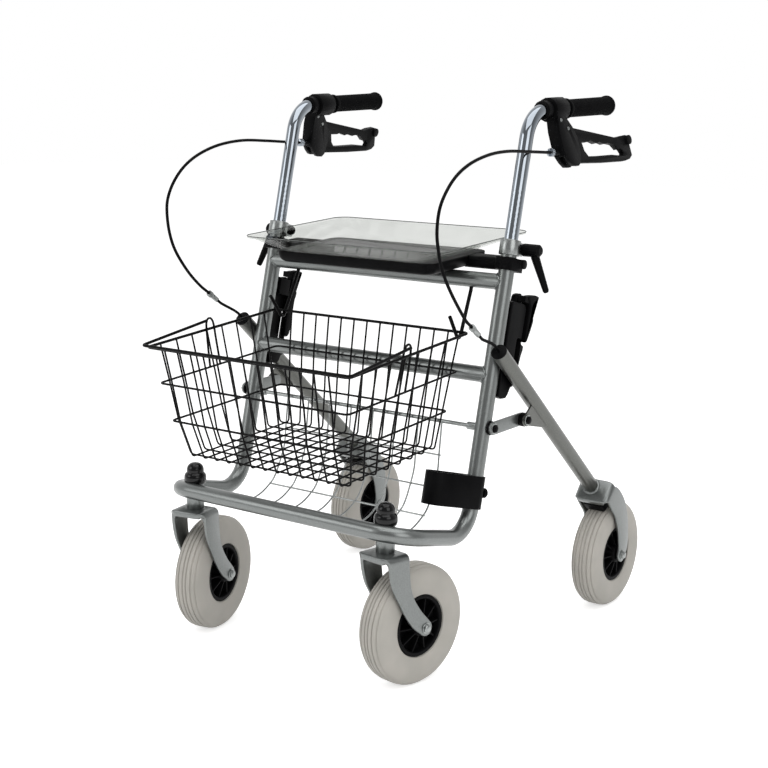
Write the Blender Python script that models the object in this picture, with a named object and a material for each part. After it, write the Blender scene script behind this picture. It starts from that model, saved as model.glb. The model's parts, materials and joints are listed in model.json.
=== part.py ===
"""A folding rollator: a bent-tube walking frame on four wheels, with a flip-up seat, a lift-off tray and
wire basket, two height-set handles and a hand brake on each side.

Metres, +Z up, the front at -Y. The user walks behind it, at +Y, so the left side is +X. Shapes are
written from the front caster axes: their mid point on the floor is (0, 0, 0) there, and the empty
rollator_origin then moves the whole object so that the middle of its box stands at the world's origin.
"""

import math

import bmesh
import bpy
from mathutils import Matrix, Vector

# Clearances
GAP = 0.0003
PIVOT_CLEARANCE = 0.0004

# Bent frame tube
FRAME_TUBE_RADIUS = 0.0127
FRAME_WALL = 0.0012
FRAME_FACETS = 12
HALF_FRAME_WIDTH = 0.2337
CROSSBAR_Y = -0.018
CROSSBAR_HEIGHT = 0.2527
UPRIGHT_LEAN = math.radians(12.85)
SIDE_RUN_LENGTH = 0.1813
UPRIGHT_LENGTH = 0.4704
FRAME_BEND_RADIUS = 0.050

# Heights along the uprights, measured from the heel where the side run would meet them
SEAT_TUBE_HEIGHT = 0.4037
MID_TUBE_HEIGHT = 0.2565
GUARD_ROD_HEIGHT = 0.1740
STRUT_PIVOT_HEIGHT = 0.1753
CANE_HOLDER_HEIGHT = 0.0725
CANE_HOLDER_LENGTH = 0.0515
SEAT_BRACKET_ABOVE_TUBE = 0.0188
SEAT_BRACKET_LENGTH = 0.0200
COLLAR_LENGTH = 0.0235

# Casters
CASTER_X = HALF_FRAME_WIDTH - 0.0427
CASTER_TRAIL = 0.058
CASTER_TOE_OUT = math.radians(10.7)
SLEEVE_RADIUS = 0.0145
SLEEVE_BOTTOM = 0.220
SLEEVE_TOP = 0.262
STEM_RADIUS = 0.006
GUARD_HALF_WIDTH = 0.1575
GUARD_WIRES = 8
GUARD_WIRE = 0.0036
CAP_RADIUS = 0.0178
CAP_HEIGHT = 0.034

# Wheels
WHEEL_RADIUS = 0.095
TYRE_HALF_WIDTH = 0.025
TYRE_WALL = 0.0100
HUB_RADIUS = 0.049
WHEEL_FACETS = 32
HUB_FACETS = 16
AXLE_RADIUS = 0.006
FORK_INNER_HALF = 0.0275
FORK_ARM = 0.006

# Rear legs and their fold
LEG_X = HALF_FRAME_WIDTH + 2 * FRAME_TUBE_RADIUS + GAP
LEG_SPREAD = math.radians(62.7)
SLIDER_HEIGHT = 0.2537
SLIDER_BEHIND = 0.048
SLIDER_TRAVEL = 0.0640
SLIDER_BULGE = 0.0066
LEG_ABOVE_SLIDER = 0.0852
REAR_WHEEL_X = HALF_FRAME_WIDTH + 0.0323
REAR_AXLE_ALONG = 0.1190
REAR_AXLE_BELOW = 0.0649
STRUT_END_Y = 0.281
STRUT_END_Z = 0.385
STRUT_HALF_WIDTH = 0.0105
STRUT_THICKNESS = 0.004
SPACER = 0.0035
PIVOT_PIN_RADIUS = 0.004

# Handle posts, grips and brakes
POST_RADIUS = 0.0111
POST_WALL = 0.0015
POST_BURIED = 0.146
POST_TOP_Z = 0.8695
POST_BEND_RADIUS = 0.055
GRIP_RADIUS = 0.0148
GRIP_START = 0.411
GRIP_END = 0.554
GRIP_TOE_OUT = 0.031
GRIP_RISE = 0.048
BRAKE_X = HALF_FRAME_WIDTH + 0.0153
BRAKE_LEAN = math.radians(12.1)
BRAKE_TOE_OUT = math.radians(3.8)
BRAKE_HALF_WIDTH = 0.011
LEVER_THICKNESS = 0.009
LEVER_PIVOT_Y = 0.3875
LEVER_PIVOT_Z = 0.8413
SHOE_CLEARANCE = 0.0020
SHOE_ANGLE = 149

# Clamp lever of the handle height
CLAMP_BOLT_BELOW_TOP = 0.0109
CLAMP_BOLT_BEHIND = 0.0232
CLAMP_BOLT_RADIUS = 0.003
CLAMP_ARM_ROOT_X = HALF_FRAME_WIDTH + 0.0288
CLAMP_ARM_TIP_X = HALF_FRAME_WIDTH + 0.0451
CLAMP_HUB_END_X = HALF_FRAME_WIDTH + 0.0428

# Seat, tray and basket
SEAT_HALF_WIDTH = HALF_FRAME_WIDTH - 0.0767
SEAT_FRONT_Y = 0.155
SEAT_FRONT_Z = 0.6345
SEAT_DEPTH = 0.1705
SEAT_THICKNESS = 0.0212
SEAT_SKIN = 0.0040
SEAT_RIBS = (3, 2)
SEAT_LIP = 0.0275
SEAT_TILT = math.radians(4)
SEAT_PIVOT_DEPTH = 0.1243
TRAY_THICKNESS = 0.003
BASKET_WIRE = 0.0030
HANDLE_FRONT_Y = -0.110
HANDLE_WIRE_RADIUS = 0.003
CABLE_RADIUS = 0.0025

X = Vector((1, 0, 0))
Y = Vector((0, 1, 0))
Z = Vector((0, 0, 1))
UP = Vector((0, math.sin(UPRIGHT_LEAN), math.cos(UPRIGHT_LEAN)))
BACK = Vector((0, math.cos(UPRIGHT_LEAN), -math.sin(UPRIGHT_LEAN)))
HEEL = Vector((0, CROSSBAR_Y, CROSSBAR_HEIGHT)) + BACK * SIDE_RUN_LENGTH
LEG_DIR = BACK * math.sin(LEG_SPREAD) - UP * math.cos(LEG_SPREAD)
LEG_NORMAL = Vector((0, -LEG_DIR.z, LEG_DIR.y))


# Mesh building

def on_upright(height, behind=0.0, x=HALF_FRAME_WIDTH):
    """A point at this height along the left upright's axis and this far behind it."""
    point = HEEL + UP * height + BACK * behind
    return Vector((x, point.y, point.z))


def raw_object(bm, name="work"):
    """Turns a bmesh into an object with its faces pointing out."""
    bmesh.ops.recalc_face_normals(bm, faces=bm.faces)
    mesh = bpy.data.meshes.new(name)
    bm.to_mesh(mesh)
    bm.free()
    obj = bpy.data.objects.new(name, mesh)
    bpy.context.scene.collection.objects.link(obj)
    return obj


def skin(bm, rings, closed):
    """Joins each ring of vertices to the next. A ring of one vertex is a point on the axis."""
    pairs = list(zip(rings, rings[1:]))
    if closed:
        pairs.append((rings[-1], rings[0]))
    for lower, upper in pairs:
        count = max(len(lower), len(upper))
        for k in range(count):
            after = (k + 1) % count
            if len(lower) == 1 and len(upper) == 1:
                continue
            if len(lower) == 1:
                bm.faces.new((lower[0], upper[after], upper[k]))
            elif len(upper) == 1:
                bm.faces.new((lower[k], lower[after], upper[0]))
            else:
                bm.faces.new((lower[k], lower[after], upper[after], upper[k]))


def square_to(axis):
    """Two directions square to an axis and to each other."""
    first = axis.cross(Z)
    if first.length < 1e-3:
        first = axis.cross(Y)
    first.normalize()
    return first, axis.cross(first).normalized()


def revolve(profile, centre, axis, facets, turn=0.0):
    """A turned solid. The profile is a closed outline of (distance along the axis, radius)."""
    axis = axis.normalized()
    first, second = square_to(axis)
    bm = bmesh.new()
    rings = []
    for along, radius in profile:
        middle = centre + axis * along
        if radius == 0:
            rings.append([bm.verts.new(middle)])
            continue
        ring = []
        for k in range(facets):
            angle = turn + 2 * math.pi * k / facets
            ring.append(bm.verts.new(middle + (first * math.cos(angle) + second * math.sin(angle)) * radius))
        rings.append(ring)
    skin(bm, rings, closed=True)
    return raw_object(bm)


def cylinder(start, end, radius, facets=16):
    """A plain round bar from start to end."""
    axis = end - start
    profile = [(0, 0), (0, radius), (axis.length, radius), (axis.length, 0)]
    return revolve(profile, start, axis, facets)


def sweep(points, radius, sides, bore=0.0):
    """A round tube along points, with square ends. The radius may be a list, one for each point."""
    count = len(points)
    radii = radius if isinstance(radius, list) else [radius] * count
    bm = bmesh.new()
    outer = []
    inner = []
    side, _ = square_to((points[1] - points[0]).normalized())
    for k, point in enumerate(points):
        before = points[max(k - 1, 0)]
        after = points[min(k + 1, count - 1)]
        if 0 < k < count - 1:
            along = ((point - before).normalized() + (after - point).normalized()).normalized()
        else:
            along = (after - before).normalized()
        side = (side - along * side.dot(along)).normalized()
        other = along.cross(side)
        spokes = []
        for n in range(sides):
            angle = 2 * math.pi * n / sides
            spokes.append(side * math.cos(angle) + other * math.sin(angle))
        outer.append([bm.verts.new(point + spoke * radii[k]) for spoke in spokes])
        if bore:
            inner.append([bm.verts.new(point + spoke * bore) for spoke in spokes])
    if bore:
        skin(bm, outer + inner[::-1], closed=True)
    else:
        skin(bm, outer, closed=False)
        bm.faces.new(outer[0])
        bm.faces.new(outer[-1])
    return raw_object(bm)


def filleted(corners, radius, steps=5):
    """A path through straight runs whose inner corners are round."""
    path = [corners[0]]
    for before, corner, after in zip(corners, corners[1:], corners[2:]):
        inward = (before - corner).normalized()
        outward = (after - corner).normalized()
        half = inward.angle(outward) / 2
        reach = radius / math.tan(half)
        middle = corner + (inward + outward).normalized() * (radius / math.sin(half))
        start = corner + inward * reach - middle
        end = corner + outward * reach - middle
        turn = start.angle(end)
        for k in range(steps + 1):
            share = k / steps
            arm = start * math.sin((1 - share) * turn) + end * math.sin(share * turn)
            path.append(middle + arm / math.sin(turn))
    path.append(corners[-1])
    return path


def prism(outline, across, upward, along, start, end, origin=None):
    """A flat outline of (across, upward) distances, drawn out along a third direction."""
    origin = origin or Vector((0, 0, 0))
    bm = bmesh.new()
    rings = []
    for reach in (start, end):
        base = origin + along * reach
        rings.append([bm.verts.new(base + across * a + upward * b) for a, b in outline])
    skin(bm, rings, closed=False)
    bm.faces.new(rings[0])
    bm.faces.new(rings[1])
    return raw_object(bm)


def arc(centre, radius, start, end, steps):
    """Points of (a, b) on an arc, with its angles in degrees."""
    points = []
    for k in range(steps + 1):
        angle = math.radians(start + (end - start) * k / steps)
        points.append((centre[0] + radius * math.cos(angle), centre[1] + radius * math.sin(angle)))
    return points


def rounded_rectangle(left, bottom, right, top, radius, steps=3):
    """A rectangle's outline with round corners."""
    return (
        arc((right - radius, top - radius), radius, 0, 90, steps)
        + arc((left + radius, top - radius), radius, 90, 180, steps)
        + arc((left + radius, bottom + radius), radius, 180, 270, steps)
        + arc((right - radius, bottom + radius), radius, 270, 360, steps)
    )


def combine(base, others, operation):
    """Joins or cuts with the exact Boolean, and clears the helpers away."""
    for other in others:
        modifier = base.modifiers.new("Boolean", "BOOLEAN")
        modifier.operation = operation
        modifier.solver = "EXACT"
        modifier.object = other
        graph = bpy.context.evaluated_depsgraph_get()
        result = bpy.data.meshes.new_from_object(base.evaluated_get(graph))
        base.modifiers.clear()
        old = base.data
        base.data = result
        bpy.data.meshes.remove(old)
        helper = other.data
        bpy.data.objects.remove(other)
        bpy.data.meshes.remove(helper)
    return base


def seat_on_tube(facets):
    """The radius of a faceted bore whose flats stay a gap away from a frame tube."""
    return (FRAME_TUBE_RADIUS + GAP) / math.cos(math.pi / facets)


def join(base, *others):
    return combine(base, others, "UNION")


def cut(base, *cutters):
    return combine(base, cutters, "DIFFERENCE")


def lattice(bm_faces, thickness):
    """A sheet of flat wire strips, given as faces of points, thickened evenly into one solid."""
    bm = bmesh.new()
    places = {}
    for corners in bm_faces:
        for corner in corners:
            key = tuple(round(value, 6) for value in corner)
            if key not in places:
                places[key] = bm.verts.new(corner)
    for corners in bm_faces:
        bm.faces.new([places[tuple(round(value, 6) for value in corner)] for corner in corners])
    sheet = raw_object(bm)
    solidify = sheet.modifiers.new("Solidify", "SOLIDIFY")
    solidify.thickness = thickness
    solidify.offset = 0
    solidify.use_even_offset = True
    graph = bpy.context.evaluated_depsgraph_get()
    solid = bpy.data.meshes.new_from_object(sheet.evaluated_get(graph))
    sheet.modifiers.clear()
    old = sheet.data
    sheet.data = solid
    bpy.data.meshes.remove(old)
    return sheet


# Materials

def new_material(name, colour, roughness, metallic=0.0, alpha=1.0):
    made = bpy.data.materials.new(name)
    made.use_nodes = True
    shader = made.node_tree.nodes["Principled BSDF"]
    shader.inputs["Base Color"].default_value = (*colour, 1.0)
    shader.inputs["Roughness"].default_value = roughness
    shader.inputs["Metallic"].default_value = metallic
    shader.inputs["Alpha"].default_value = alpha
    return made


def frame_paint():
    return new_material("silver_paint", (0.42, 0.43, 0.44), 0.35, 0.6)


def cast_metal():
    return new_material("cast_metal", (0.36, 0.37, 0.38), 0.42, 0.8)


def chrome():
    return new_material("chrome", (0.85, 0.85, 0.86), 0.06, 1.0)


def zinc():
    return new_material("zinc_plate", (0.60, 0.61, 0.62), 0.25, 1.0)


def black_plastic():
    return new_material("black_plastic", (0.02, 0.02, 0.022), 0.45)


def black_coating():
    return new_material("black_coating", (0.015, 0.015, 0.016), 0.35)


def grip_rubber():
    return new_material("grip_rubber", (0.025, 0.025, 0.025), 0.8)


def tyre_grey():
    return new_material("tyre_grey", (0.55, 0.54, 0.52), 0.75)


def clear_plastic():
    return new_material("clear_plastic", (0.85, 0.88, 0.87), 0.05, 0.0, 0.35)


MATERIALS = {}


def material(maker):
    """One material for each finish, made when a piece first asks for it."""
    if maker.__name__ not in MATERIALS:
        MATERIALS[maker.__name__] = maker()
    return MATERIALS[maker.__name__]


ROOT = {}


def node(obj, name, finish, origin):
    """Names a finished piece, puts its origin on its joint's axis and parents it to the root."""
    obj.name = name
    obj.data.name = name
    if obj.type == "MESH":
        obj.data.transform(Matrix.Translation(-origin))
        obj.data.shade_smooth()
        obj.data.set_sharp_from_angle(angle=math.radians(35))
    obj.location = origin
    obj.parent = ROOT["empty"]
    obj.data.materials.clear()
    obj.data.materials.append(material(finish))
    return obj


def on_both_sides(obj, name, finish, origin):
    """Keeps the left piece and adds its mirror twin on the right."""
    mirrored = obj.data.copy()
    mirrored.transform(Matrix.Diagonal((-1, 1, 1, 1)))
    mirrored.flip_normals()
    twin = bpy.data.objects.new("twin", mirrored)
    bpy.context.scene.collection.objects.link(twin)
    node(obj, name + "_left", finish, origin)
    node(twin, name + "_right", finish, Vector((-origin.x, origin.y, origin.z)))


# Frame

def frame_path():
    """The frame tube's axis: down the left upright, round the front and up the right one."""
    half = HALF_FRAME_WIDTH
    corners = []
    for side in (1, -1):
        run = [
            on_upright(UPRIGHT_LENGTH, x=side * half),
            on_upright(0, x=side * half),
            Vector((side * half, CROSSBAR_Y, CROSSBAR_HEIGHT)),
        ]
        corners += run if side == 1 else run[::-1]
    return filleted(corners, FRAME_BEND_RADIUS, 4)


def bent_frame():
    """One bent tube with a welded sleeve for each caster."""
    half = HALF_FRAME_WIDTH
    bore = (FRAME_TUBE_RADIUS - FRAME_WALL) / math.cos(math.pi / FRAME_FACETS)
    frame = sweep(frame_path(), FRAME_TUBE_RADIUS, FRAME_FACETS, bore=bore)
    for side in (1, -1):
        base = Vector((side * CASTER_X, 0, SLEEVE_BOTTOM))
        top = Vector((side * CASTER_X, 0, SLEEVE_TOP))
        join(frame, cylinder(base, top, SLEEVE_RADIUS, 12))
        cut(frame, cylinder(base - Z * 0.01, top + Z * 0.01, STEM_RADIUS + PIVOT_CLEARANCE, 10))
        hole = on_upright(STRUT_PIVOT_HEIGHT, x=side * half)
        cut(frame, cylinder(hole, hole + X * side * 0.03, PIVOT_PIN_RADIUS + PIVOT_CLEARANCE, 10))
    node(frame, "front_frame", frame_paint, Vector((0, 0, 0)))


def tube_between_uprights(height, name):
    """A cross tube whose ends are cut to the curve of the uprights."""
    reach = X * (HALF_FRAME_WIDTH - 0.001)
    middle = on_upright(height, x=0)
    wall = FRAME_TUBE_RADIUS - FRAME_WALL
    tube = sweep([middle - reach, middle + reach], FRAME_TUBE_RADIUS, 14, bore=wall)
    for side in (1, -1):
        low = on_upright(height - 0.05, x=side * HALF_FRAME_WIDTH)
        high = on_upright(height + 0.05, x=side * HALF_FRAME_WIDTH)
        cut(tube, cylinder(low, high, seat_on_tube(16), 16))
    node(tube, name, frame_paint, Vector((0, 0, 0)))


def wire_guard():
    """The wire shelf under the basket: it hangs from a rod and runs forward to the front crossbar."""
    rod = on_upright(GUARD_ROD_HEIGHT, x=0)
    touch = FRAME_TUBE_RADIUS + GAP + GUARD_WIRE / 2
    drop = [
        (rod.y, rod.z, False), (0.1915, 0.3270, True), (0.1885, 0.3000, False), (0.1790, 0.2760, True),
        (0.1650, 0.2500, False), (0.1500, 0.2360, True), (0.1180, 0.2215, False), (0.0700, 0.2185, False),
        (CROSSBAR_Y + touch * 0.75, CROSSBAR_HEIGHT - touch * 0.67, False),
    ]
    drop = [(Vector((0, y, z)), is_row) for y, z, is_row in drop]
    half_wire = GUARD_WIRE / 2
    rows = []
    for (upper, starts_row), (lower, _) in zip(drop, drop[1:]):
        if starts_row:
            edge = upper + (lower - upper).normalized() * GUARD_WIRE
            rows.append((upper, edge, True))
            upper = edge
        rows.append((upper, lower, False))
    pitch = 2 * GUARD_HALF_WIDTH / (GUARD_WIRES - 1)
    wires = [pitch * k - GUARD_HALF_WIDTH for k in range(GUARD_WIRES)]
    spans = [(wire - half_wire, wire + half_wire, True) for wire in wires]
    spans += [(wire + half_wire, wire + pitch - half_wire, False) for wire in wires[:-1]]
    faces = []
    for left, right, is_wire in spans:
        for upper, lower, is_row in rows:
            if is_wire or is_row:
                faces.append([
                    (left, upper.y, upper.z),
                    (right, upper.y, upper.z),
                    (right, lower.y, lower.z),
                    (left, lower.y, lower.z),
                ])
    guard = lattice(faces, GUARD_WIRE)
    rod_reach = X * (HALF_FRAME_WIDTH - FRAME_TUBE_RADIUS - GAP)
    join(guard, cylinder(rod - rod_reach, rod + rod_reach, 0.0035, 10))
    for side in (1, -1):
        join(guard, cylinder(rod + rod_reach * side - X * side * 0.016, rod + rod_reach * side, 0.0062, 12))
    node(guard, "wire_guard", zinc, Vector((0, 0, 0)))


def caster_caps():
    """The domed cap on top of each caster sleeve."""
    base = Vector((CASTER_X, 0, SLEEVE_TOP + GAP))
    recess = STEM_RADIUS + 0.0015
    profile = [
        (0, recess), (0, CAP_RADIUS - 0.0010), (0.005, CAP_RADIUS), (0.011, CAP_RADIUS - 0.0002),
        (0.0145, CAP_RADIUS - 0.0026), (0.020, CAP_RADIUS - 0.0020), (0.0265, CAP_RADIUS - 0.0044),
        (CAP_HEIGHT - 0.0022, CAP_RADIUS - 0.0100), (CAP_HEIGHT, 0), (0.010, 0), (0.010, recess),
    ]
    cap = revolve(profile, base, Z, 16)
    cut(cap, sweep(frame_path(), FRAME_TUBE_RADIUS + 1.2 * GAP, FRAME_FACETS))
    on_both_sides(cap, "caster_cap", black_plastic, base)


def basket_hooks():
    """A rod from the seat cross tube that ends in a V, which the basket's rear rim hangs in."""
    x = HALF_FRAME_WIDTH - 0.0552
    path = [
        on_upright(SEAT_TUBE_HEIGHT, x=x - 0.004),
        Vector((x - 0.003, 0.2430, 0.5890)),
        Vector((x, 0.2130, 0.5240)),
        Vector((x, 0.2075, 0.5160)),
        Vector((x, 0.2010, 0.5200)),
        Vector((x + 0.002, 0.1760, 0.5540)),
    ]
    hook = sweep(path, 0.0026, 8)
    tube_middle = on_upright(SEAT_TUBE_HEIGHT, x=x)
    reach = X * 0.02
    cut(hook, cylinder(tube_middle - reach, tube_middle + reach, seat_on_tube(16), 16))
    on_both_sides(hook, "basket_hook", black_coating, path[3])


def fold_rails():
    """The slotted rail behind each upright, which guides and holds the top of the rear leg."""
    front = FRAME_TUBE_RADIUS + GAP
    rear = 0.0620
    guide_front = 0.0375
    guide_low = 0.250
    guide_high = 0.345
    top = 0.375
    plate = (0.2340, 0.2455)
    inner = 0.2215
    flat = (UP, BACK, X)
    outline = [
        (0.218, front), (guide_low, front), (guide_low, guide_front), (guide_high, guide_front),
        (guide_high, front), (top, front), (top, rear), (0.218, rear),
    ]
    rail = prism(outline, *flat, *plate, HEEL)
    foot = [(0.219, front + 0.001), (guide_low - 0.001, front + 0.001), (guide_low - 0.001, rear - 0.001), (0.219, rear - 0.001)]
    join(rail, prism(foot, *flat, inner, plate[0] + 0.002, HEEL))
    head = [(guide_high + 0.001, front + 0.001), (top - 0.001, front + 0.001), (top - 0.001, 0.0405), (guide_high + 0.001, 0.0405)]
    join(rail, prism(head, *flat, inner, plate[0] + 0.002, HEEL))
    room = PIVOT_PIN_RADIUS + PIVOT_CLEARANCE
    slot = [
        (SLIDER_HEIGHT - room, SLIDER_BEHIND - room),
        (SLIDER_HEIGHT + SLIDER_TRAVEL + room, SLIDER_BEHIND - room),
        (SLIDER_HEIGHT + SLIDER_TRAVEL + room, SLIDER_BEHIND + SLIDER_BULGE + room),
        (SLIDER_HEIGHT - room, SLIDER_BEHIND + SLIDER_BULGE + room),
    ]
    cut(rail, prism(slot, *flat, plate[0] - 0.01, plate[1] + 0.01, HEEL))
    hinge = latch_pivot()
    cut(rail, cylinder(hinge - X * 0.02, hinge + X * 0.006, 0.0025 + PIVOT_CLEARANCE, 10))
    on_both_sides(rail, "fold_rail", black_plastic, hinge)


def latch_pivot():
    return on_upright(0.333, 0.048, 0.2340)


def latch_levers():
    """The sprung latch beside the rail: its foot locks the leg's slider, and its blade is the finger pull."""
    inner = HALF_FRAME_WIDTH - 0.0115
    face = HALF_FRAME_WIDTH - 0.0003
    blade_x = HALF_FRAME_WIDTH + 0.0121
    body = [
        (0.2790, 0.0460), (0.3450, 0.0440), (0.3785, 0.0445), (0.3905, 0.0470), (0.3925, 0.0600), (0.3800, 0.0620),
        (0.3400, 0.0610), (0.3010, 0.0600), (0.2790, 0.0590),
    ]
    paddle = prism(body, UP, BACK, X, inner, face, HEEL)
    bridge = [(0.3776, 0.0480), (0.3900, 0.0475), (0.3922, 0.0740), (0.3860, 0.0760), (0.3776, 0.0700)]
    join(paddle, prism(bridge, UP, BACK, X, face - 0.002, blade_x + 0.0020, HEEL))
    blade = [
        (0.3350, 0.0655), (0.3922, 0.0650), (0.3940, 0.0790), (0.3905, 0.0855), (0.3800, 0.0805), (0.3680, 0.0785),
        (0.3560, 0.0800), (0.3450, 0.0775), (0.3350, 0.0700),
    ]
    join(paddle, prism(blade, UP, BACK, X, blade_x, blade_x + 0.0120, HEEL))
    hinge = latch_pivot()
    join(paddle, cylinder(hinge - X * 0.004, hinge + X * 0.005, 0.0025, 10))
    on_both_sides(paddle, "latch_lever", black_plastic, hinge)


def cane_holder():
    """The band clamped to the left upright, with an open cup ahead of it that a cane stands in."""
    half = CANE_HOLDER_LENGTH / 2
    cup = (0.030, 0.060)
    radius = 0.021
    wall = 0.003
    middle = on_upright(CANE_HOLDER_HEIGHT)
    along = Vector((-cup[0], 0, 0)) - BACK * cup[1]
    reach = along.length
    forward = along.normalized()
    sideways = UP.cross(forward)
    ring = FRAME_TUBE_RADIUS + GAP + wall
    outline = arc((reach, 0), radius, -90, 90, 8) + arc((0, 0), ring, 100, 260, 6)
    band = prism(outline, forward, sideways, UP, -half, half, middle)
    inner = radius - wall
    void = arc((reach, 0), inner, -90, 90, 8) + [(0.026, inner - 0.002), (0.026, -inner + 0.002)]
    cut(band, prism(void, forward, sideways, UP, -half - 0.01, half + 0.01, middle))
    low = middle - UP * (half + 0.01)
    high = middle + UP * (half + 0.01)
    cut(band, sweep(frame_path(), FRAME_TUBE_RADIUS + 1.2 * GAP, FRAME_FACETS))
    cut(band, cylinder(low, high, seat_on_tube(20), 20))
    screw_at = middle - forward * 0.010
    cut(band, cylinder(screw_at, middle - forward * 0.05, 0.0034, 10))
    node(band, "cane_holder", black_plastic, middle)
    head = middle - forward * (ring + 0.0008)
    profile = [(-0.0025, 0), (-0.0025, 0.003), (0, 0.003), (0, 0.008), (0.005, 0.008), (0.008, 0.005), (0.008, 0)]
    screw = revolve(profile, head, -forward, 12)
    node(screw, "cane_holder_screw", black_plastic, head)


# Seat and tray

SEAT_ALONG = Vector((0, math.cos(SEAT_TILT), math.sin(SEAT_TILT)))
SEAT_NORMAL = Vector((0, -math.sin(SEAT_TILT), math.cos(SEAT_TILT)))
SEAT_ORIGIN = Vector((0, SEAT_FRONT_Y, SEAT_FRONT_Z))


def seat_pivot(x):
    point = SEAT_ORIGIN + SEAT_ALONG * SEAT_PIVOT_DEPTH - SEAT_NORMAL * SEAT_THICKNESS / 2
    return Vector((x, point.y, point.z))


def seat_board():
    """The moulded seat: a board with a deeper front lip and an arm on each side for its hinge."""
    half = SEAT_HALF_WIDTH
    plan = rounded_rectangle(-half, 0, half, SEAT_DEPTH, 0.018)
    board = prism(plan, X, SEAT_ALONG, SEAT_NORMAL, -SEAT_THICKNESS, 0, SEAT_ORIGIN)
    lip = rounded_rectangle(-half + 0.004, 0.001, half - 0.004, 0.022, 0.006)
    join(board, prism(lip, X, SEAT_ALONG, SEAT_NORMAL, -SEAT_LIP, -0.003, SEAT_ORIGIN))
    reach = HALF_FRAME_WIDTH - FRAME_TUBE_RADIUS - 0.0050
    arm = [(SEAT_PIVOT_DEPTH - 0.017, -SEAT_THICKNESS + 0.0005), (SEAT_PIVOT_DEPTH + 0.017, -SEAT_THICKNESS + 0.0005),
           (SEAT_PIVOT_DEPTH + 0.017, -0.0005), (SEAT_PIVOT_DEPTH - 0.017, -0.0005)]
    for side in (1, -1):
        join(board, prism(arm, SEAT_ALONG, SEAT_NORMAL, X, side * (half - 0.02), side * reach, SEAT_ORIGIN))
        start = seat_pivot(side * (half + 0.004))
        cut(board, cylinder(start, seat_pivot(side * (reach + 0.01)), 0.005 + PIVOT_CLEARANCE, 12))
    across, deep = SEAT_RIBS
    cell = 2 * (half - SEAT_SKIN) / across
    first_depth = 0.0260
    row = (SEAT_DEPTH - SEAT_SKIN - first_depth) / deep
    for column in range(across):
        for line in range(deep):
            left = cell * column - half + SEAT_SKIN + SEAT_SKIN / 2
            front = first_depth + row * line
            narrowed = 0.022 if line == deep - 1 and column != 1 else 0.0
            start = left + (narrowed if column == 0 else 0)
            end = left + cell - SEAT_SKIN - (narrowed if column == across - 1 else 0)
            pocket = rounded_rectangle(start, front, end, front + row - SEAT_SKIN, 0.006, 2)
            cut(board, prism(pocket, X, SEAT_ALONG, SEAT_NORMAL, -SEAT_THICKNESS - 0.01, -SEAT_SKIN, SEAT_ORIGIN))
    node(board, "seat_board", black_plastic, seat_pivot(0))


def seat_brackets():
    """The clamp block on each upright that carries the seat's hinge pin."""
    front = -0.0150
    rear = 0.0265
    inner = HALF_FRAME_WIDTH - FRAME_TUBE_RADIUS - 0.0030
    outer = HALF_FRAME_WIDTH + FRAME_TUBE_RADIUS + 0.0025
    plan = rounded_rectangle(inner, front, outer, rear, 0.005, 2)
    low = SEAT_TUBE_HEIGHT + SEAT_BRACKET_ABOVE_TUBE
    high = low + SEAT_BRACKET_LENGTH
    block = prism(plan, X, BACK, UP, low, high, HEEL)
    pivot = seat_pivot(0)
    join(block, cylinder(seat_pivot(0.2290), seat_pivot(outer + 0.002), 0.0075, 14))
    join(block, cylinder(seat_pivot(SEAT_HALF_WIDTH + 0.006), seat_pivot(inner + 0.002), 0.005, 12))
    cut(block, cylinder(on_upright(low - 0.02), on_upright(high + 0.02), seat_on_tube(16), 16))
    on_both_sides(block, "seat_bracket", black_plastic, Vector((HALF_FRAME_WIDTH, pivot.y, pivot.z)))


def tray():
    """The clear tray: a flat floor, sloping sides and a narrow rim, one thickness all over."""
    levels = [
        (0.0004, 0.140, -0.004, 0.194, 0.020),
        (0.0212, 0.191, -0.028, 0.233, 0.022),
        (0.0222, 0.197, -0.034, 0.238, 0.024),
    ]
    bm = bmesh.new()
    rings = []
    for level, half, front, rear, radius in levels:
        plan = rounded_rectangle(-half, front, half, rear, radius)
        rings.append([bm.verts.new(SEAT_ORIGIN + X * a + SEAT_ALONG * b + SEAT_NORMAL * level) for a, b in plan])
    for level, half, front, rear, radius in reversed(levels):
        plan = rounded_rectangle(-half, front, half, rear, radius)
        lift = level + TRAY_THICKNESS
        rings.append([bm.verts.new(SEAT_ORIGIN + X * a + SEAT_ALONG * b + SEAT_NORMAL * lift) for a, b in plan])
    skin(bm, rings, closed=False)
    bm.faces.new(rings[0])
    bm.faces.new(rings[-1])
    node(raw_object(bm), "tray", clear_plastic, SEAT_ORIGIN)


# Basket

BASKET_LEVELS = [
    # share of the height, half width, front y and z, back y and z
    (0.000, 0.150, -0.0535, 0.3230, 0.1855, 0.3400),
    (0.331, 0.170, -0.0764, 0.3810, 0.1925, 0.4010),
    (0.674, 0.1835, -0.0887, 0.4410, 0.1985, 0.4655),
    (1.000, 0.196, -0.1030, 0.4980, 0.2068, 0.5265),
]
BASKET_FRONT_WIRES = 9
BASKET_SIDE_WIRES = 6
BASKET_FLOOR_RODS = (2, 4, 5)


def basket_point(across, depth, level):
    """A point of the basket's sheet. across runs from 0 at the right to 1, depth from 0 at the front to 1."""
    for lower, upper in zip(BASKET_LEVELS, BASKET_LEVELS[1:]):
        if level <= upper[0]:
            break
    share = (level - lower[0]) / (upper[0] - lower[0])
    half, front_y, front_z, back_y, back_z = (a + (b - a) * share for a, b in zip(lower[1:], upper[1:]))
    y = front_y + (back_y - front_y) * depth
    return ((2 * across - 1) * half, y, front_z + (back_z - front_z) * depth)


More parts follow.
